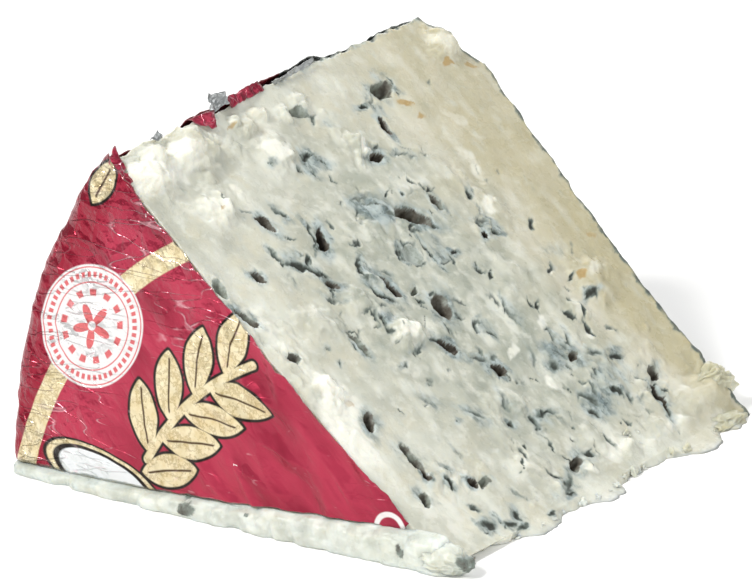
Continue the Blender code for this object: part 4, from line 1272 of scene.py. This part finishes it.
def foil_piece(material):
    (x, r), length = foil_path()
    dx, dr = np.gradient(x), np.gradient(r)
    size = np.hypot(dx, dr)
    across, along = np.meshgrid(np.arange(len(x)), np.linspace(0.0, 1.0, FOIL_COLUMNS), indexing="ij")
    px, pr, plen = x[across], r[across], length[across]
    torn = ease(1.0, FOIL_TORN_SPAN[0], px) * ease(FOIL_TORN_SPAN[1] + 3.0, FOIL_TORN_SPAN[1], px)
    on_rim = ease(NEAR_SHOULDER[0], NEAR_SHOULDER[0] + 2.0, px)
    short = on_rim * ease(FOIL_PROUD_END + 14.0, FOIL_PROUD_END + 20.0, px)
    far = ease(WHEEL_RADIUS + 92.0, WHEEL_RADIUS + 98.0, plen)
    foot = np.where(px < NEAR_SHOULDER[0], lip_height(pr) + FOIL_LIP_CLEARANCE, FOIL_FOOT)
    foot = foot + 0.35 * grain(3.3, plen / 3.0, 0.0) + 0.15 * grain(4.3, plen / 1.0, 0.0)
    low = np.arcsin(np.clip(foot / pr, 0.0, 0.95))
    stray = 0.45 * grain(6.6, plen / 4.0, 0.0) + 0.3 * grain(7.6, plen / 1.4, 0.0)
    over = FOIL_OVERHANG - 3.6 * torn - 2.6 * short - 2.6 * far + stray * (1.0 + far)
    high = WEDGE_ANGLE + over / pr
    turn = mix(low, high, along)
    w = np.clip(turn / WEDGE_ANGLE, 0.0, 1.0)
    lift = FOIL_GAP + foil_relief(plen, pr * turn, turn)
    nx, nr = -(dr / size)[across], (dx / size)[across]
    scale = rim_radius(px, w) / WHEEL_RADIUS
    qx, qr = px + nx * lift, pr * scale + nr * lift
    points = np.stack((qx, qr * np.cos(turn), qr * np.sin(turn)), axis=-1).reshape(-1, 3)
    y, z = (plen * np.cos(turn)).ravel(), (plen * np.sin(turn)).ravel()
    fields = print_fields(y, z)
    on_edge = 0.8 * np.maximum(ease(0.6 / 40.0, 0.0, along), ease(1.0 - 0.6 / 60.0, 1.0, along))
    tip = np.exp(-(((y - 58.0) / 9.0) ** 2) - (((z - 56.0) / 6.0) ** 2)) + 0.8 * np.exp(
        -(((y - 45.0) / 3.0) ** 2) - (((z - 12.0) / 1.5) ** 2)
    )
    scratch = crease(31.0, (y + 0.6 * z) / 4.0, (z - 0.6 * y) / 1.1) ** 2
    # Where the print is chipped at the tip, painted pale as glints
    fields["worn"] = tip * scratch
    pressed = ease(70.0, 88.0, plen) * ease(120.0, 96.0, plen)
    pressed = pressed + 0.8 * ease(0.45, 0.62, turn) * ease(45.0, 70.0, plen)
    patchy = 0.5 * grain(33.0, plen / 12.0, pr * turn / 12.0)
    fields["creased"] = np.clip(0.1 + pressed + patchy + 0.25 * on_rim, 0.05, 1.2).ravel()
    fields["edge"] = on_edge.ravel()
    tear = 4.0 * grain(41.0, plen / 9.0, pr * turn / 9.0) + 1.0 * grain(43.0, plen / 2.0, pr * turn / 2.0)
    print_end = ease(FOIL_PROUD_END, FOIL_PRINT_END, px) * ease(46.0, 50.0, plen - WHEEL_RADIUS + tear)
    fields["silver"] = print_end.ravel() * 0.9
    index = np.arange(px.size).reshape(px.shape)
    piece = new_piece("printed_foil", points, grid_faces(index), fields, "crimson_foil", "foil", material)
    solidified(piece, FOIL_THICKNESS)
    return piece


foil = foil_material()
foil_piece(foil)

# Scraps of the same foil that were dragged over the border of the cut, printed side and bare side up.
# Corners of each lie at x along the rim, at r from the axis and at a height over the cut.
Scrap = namedtuple("Scrap", "name corners silver crumple")
SCRAPS = (
    Scrap("flap", ((21.6, 94.6, 0.9), (28.6, 94.4, 1.2), (26.4, 91.2, 0.9), (25.4, 91.4, 0.8)), 0.0, 0.35),
    Scrap("silver", ((27.6, 94.0, 1.0), (29.4, 97.2, 1.8), (33.4, 96.6, 1.6), (32.6, 94.2, 1.2)), 1.0, 0.8),
    Scrap("strip", ((32.6, 95.4, 1.2), (43.0, 96.4, 1.0), (44.0, 94.6, 0.3), (33.2, 93.6, 0.7)), 0.0, 0.4),
    Scrap("rim_end", ((46.0, 95.0, 1.0), (60.0, 96.6, 1.0), (60.0, 95.8, 0.2), (47.0, 94.6, 0.2)), 1.0, 0.4),
    Scrap("speck", ((10.6, 93.8, 1.0), (13.0, 94.8, 1.4), (13.8, 93.6, 1.1), (12.0, 93.0, 0.9)), 0.7, 0.3),
    Scrap("corner", ((-0.6, 93.6, 0.0), (2.2, 95.4, 1.0), (1.6, 91.0, 0.5), (-0.8, 89.4, 0.0)), 0.0, 0.3),
    Scrap("tongue", ((-0.6, 91.0, 0.0), (2.6, 89.4, 0.5), (1.8, 88.2, 0.4), (-0.8, 87.6, 0.0)), 0.0, 0.3),
)
SCRAP_STEPS = 22
# A place where the print is plain crimson
PLAIN_PRINT = (30.0, 5.0)


def scrap_piece(scrap, material):
    a, b = np.meshgrid(np.linspace(0.0, 1.0, SCRAP_STEPS), np.linspace(0.0, 1.0, SCRAP_STEPS), indexing="ij")
    first, second, third, fourth = (np.array(corner) for corner in scrap.corners)
    a3, b3 = a[..., None], b[..., None]
    place = mix(mix(first, second, a3), mix(fourth, third, a3), b3)
    place[..., 0] += 0.45 * grain(51.0, place[..., 0] / 1.1, place[..., 1] / 1.1)
    place[..., 1] += 0.4 * grain(57.0, place[..., 0] / 1.3, place[..., 1] / 1.3)
    place[..., 2] += scrap.crumple * (crease(53.0, place[..., 0] / 2.2, place[..., 1] / 1.8) - 0.4)
    points = np.stack([on_cut(*corner) for corner in place.reshape(-1, 3)])
    on_edge = np.maximum(abs(a - 0.5), abs(b - 0.5)).ravel() * 2.0
    levels = {"leaf": 9.0, "rib": 9.0, "stem": 9.0, "worn": 0.0, "creased": 1.0, "silver": scrap.silver}
    levels.update({"print_y": PLAIN_PRINT[0], "print_z": PLAIN_PRINT[1]})
    fields = {field: np.full(len(points), level) for field, level in levels.items()}
    fields["edge"] = ease(0.8, 1.0, on_edge)
    faces = grid_faces(np.arange(a.size).reshape(a.shape))
    piece = new_piece("foil_scrap_" + scrap.name, points, faces, fields, "crimson_foil", "foil", material)
    solidified(piece, FOIL_THICKNESS)


for scrap in SCRAPS:
    scrap_piece(scrap, foil)

# The table top that the wedge stands on: a large board with matt white paint, which gives next to no
# shine and a soft shadow. It is only part of the stage, like the lights and the camera.
TABLE_HALF = 4.0
# A pale room with large soft lamps round it, as in a product photograph
ROOM_STRENGTH = 0.38
# The camera stands far off with a long lens, in metres from the row's own frame
CAMERA_PLACE = (-0.749324, -0.574597, 0.350238)
CAMERA_AIM = (0.001115, 0.002046, 0.027246)
CAMERA_ROLL = math.radians(-2.413)
CAMERA_LENS = 269.03


def floor_piece():
    shape = bmesh.new()
    bmesh.ops.create_grid(shape, x_segments=8, y_segments=8, size=TABLE_HALF)
    mesh = bpy.data.meshes.new("table_top")
    shape.to_mesh(mesh)
    shape.free()
    material, tree, shader, add = new_material("matt_white_paint")
    cloudy = add("TexNoise", {"Vector": add("TexCoord", out="Object"), "Scale": 3.0, "Detail": 2.0})
    tone = add("Mix", {0: cloudy, 6: "fafaf9", 7: "fdfdfc"}, **MIXED)
    tree.links.new(tone, shader.inputs["Base Color"])
    shader.inputs["Roughness"].default_value = 0.8
    shader.inputs["Specular IOR Level"].default_value = 0.1
    mesh.materials.append(material)
    table = bpy.data.objects.new("table_top", mesh)
    bpy.context.scene.collection.objects.link(table)


def soft_light(name, place, size, power, warmth):
    lamp = bpy.data.lights.new(name, "AREA")
    lamp.size = size
    lamp.energy = power
    lamp.color = warmth
    light = bpy.data.objects.new(name, lamp)
    light.location = place
    light.rotation_euler = (Vector((0.0, 0.0, 0.03)) - Vector(place)).to_track_quat("-Z", "Y").to_euler()
    bpy.context.scene.collection.objects.link(light)


floor_piece()
# Places and sizes in metres, powers in watts
soft_light("key_light", (-1.0, 0.35, 1.15), 0.35, 20.5, (1.0, 0.99, 0.97))
soft_light("front_light", (-0.6, -1.3, 0.6), 0.9, 7.6, (1.0, 1.0, 1.0))
soft_light("right_light", (0.9, -1.0, 0.9), 1.0, 4.5, (0.98, 0.99, 1.0))
soft_light("back_light", (1.1, 0.9, 1.0), 1.6, 17.0, (1.0, 1.0, 1.0))

world = bpy.data.worlds.new("pale_room")
world.use_nodes = True
world.node_tree.nodes["Background"].inputs["Color"].default_value = (1.0, 1.0, 1.0, 1.0)
world.node_tree.nodes["Background"].inputs["Strength"].default_value = ROOM_STRENGTH
bpy.context.scene.world = world
bpy.context.scene.view_settings.view_transform = "Standard"

lens = bpy.data.cameras.new("camera")
lens.lens = CAMERA_LENS
lens.sensor_width = 36.0
lens.clip_end = 20.0
camera = bpy.data.objects.new("camera", lens)
forward = (Vector(CAMERA_AIM) - Vector(CAMERA_PLACE)).normalized()
level = forward.cross(Vector((0.0, 0.0, 1.0))).normalized()
right = level * math.cos(CAMERA_ROLL) + level.cross(forward) * math.sin(CAMERA_ROLL)
upward = right.cross(forward)
axes = Matrix((right, upward, -forward)).transposed()
camera.matrix_world = Matrix.Translation(CAMERA_PLACE) @ axes.to_4x4()
bpy.context.scene.collection.objects.link(camera)
bpy.context.scene.camera = camera
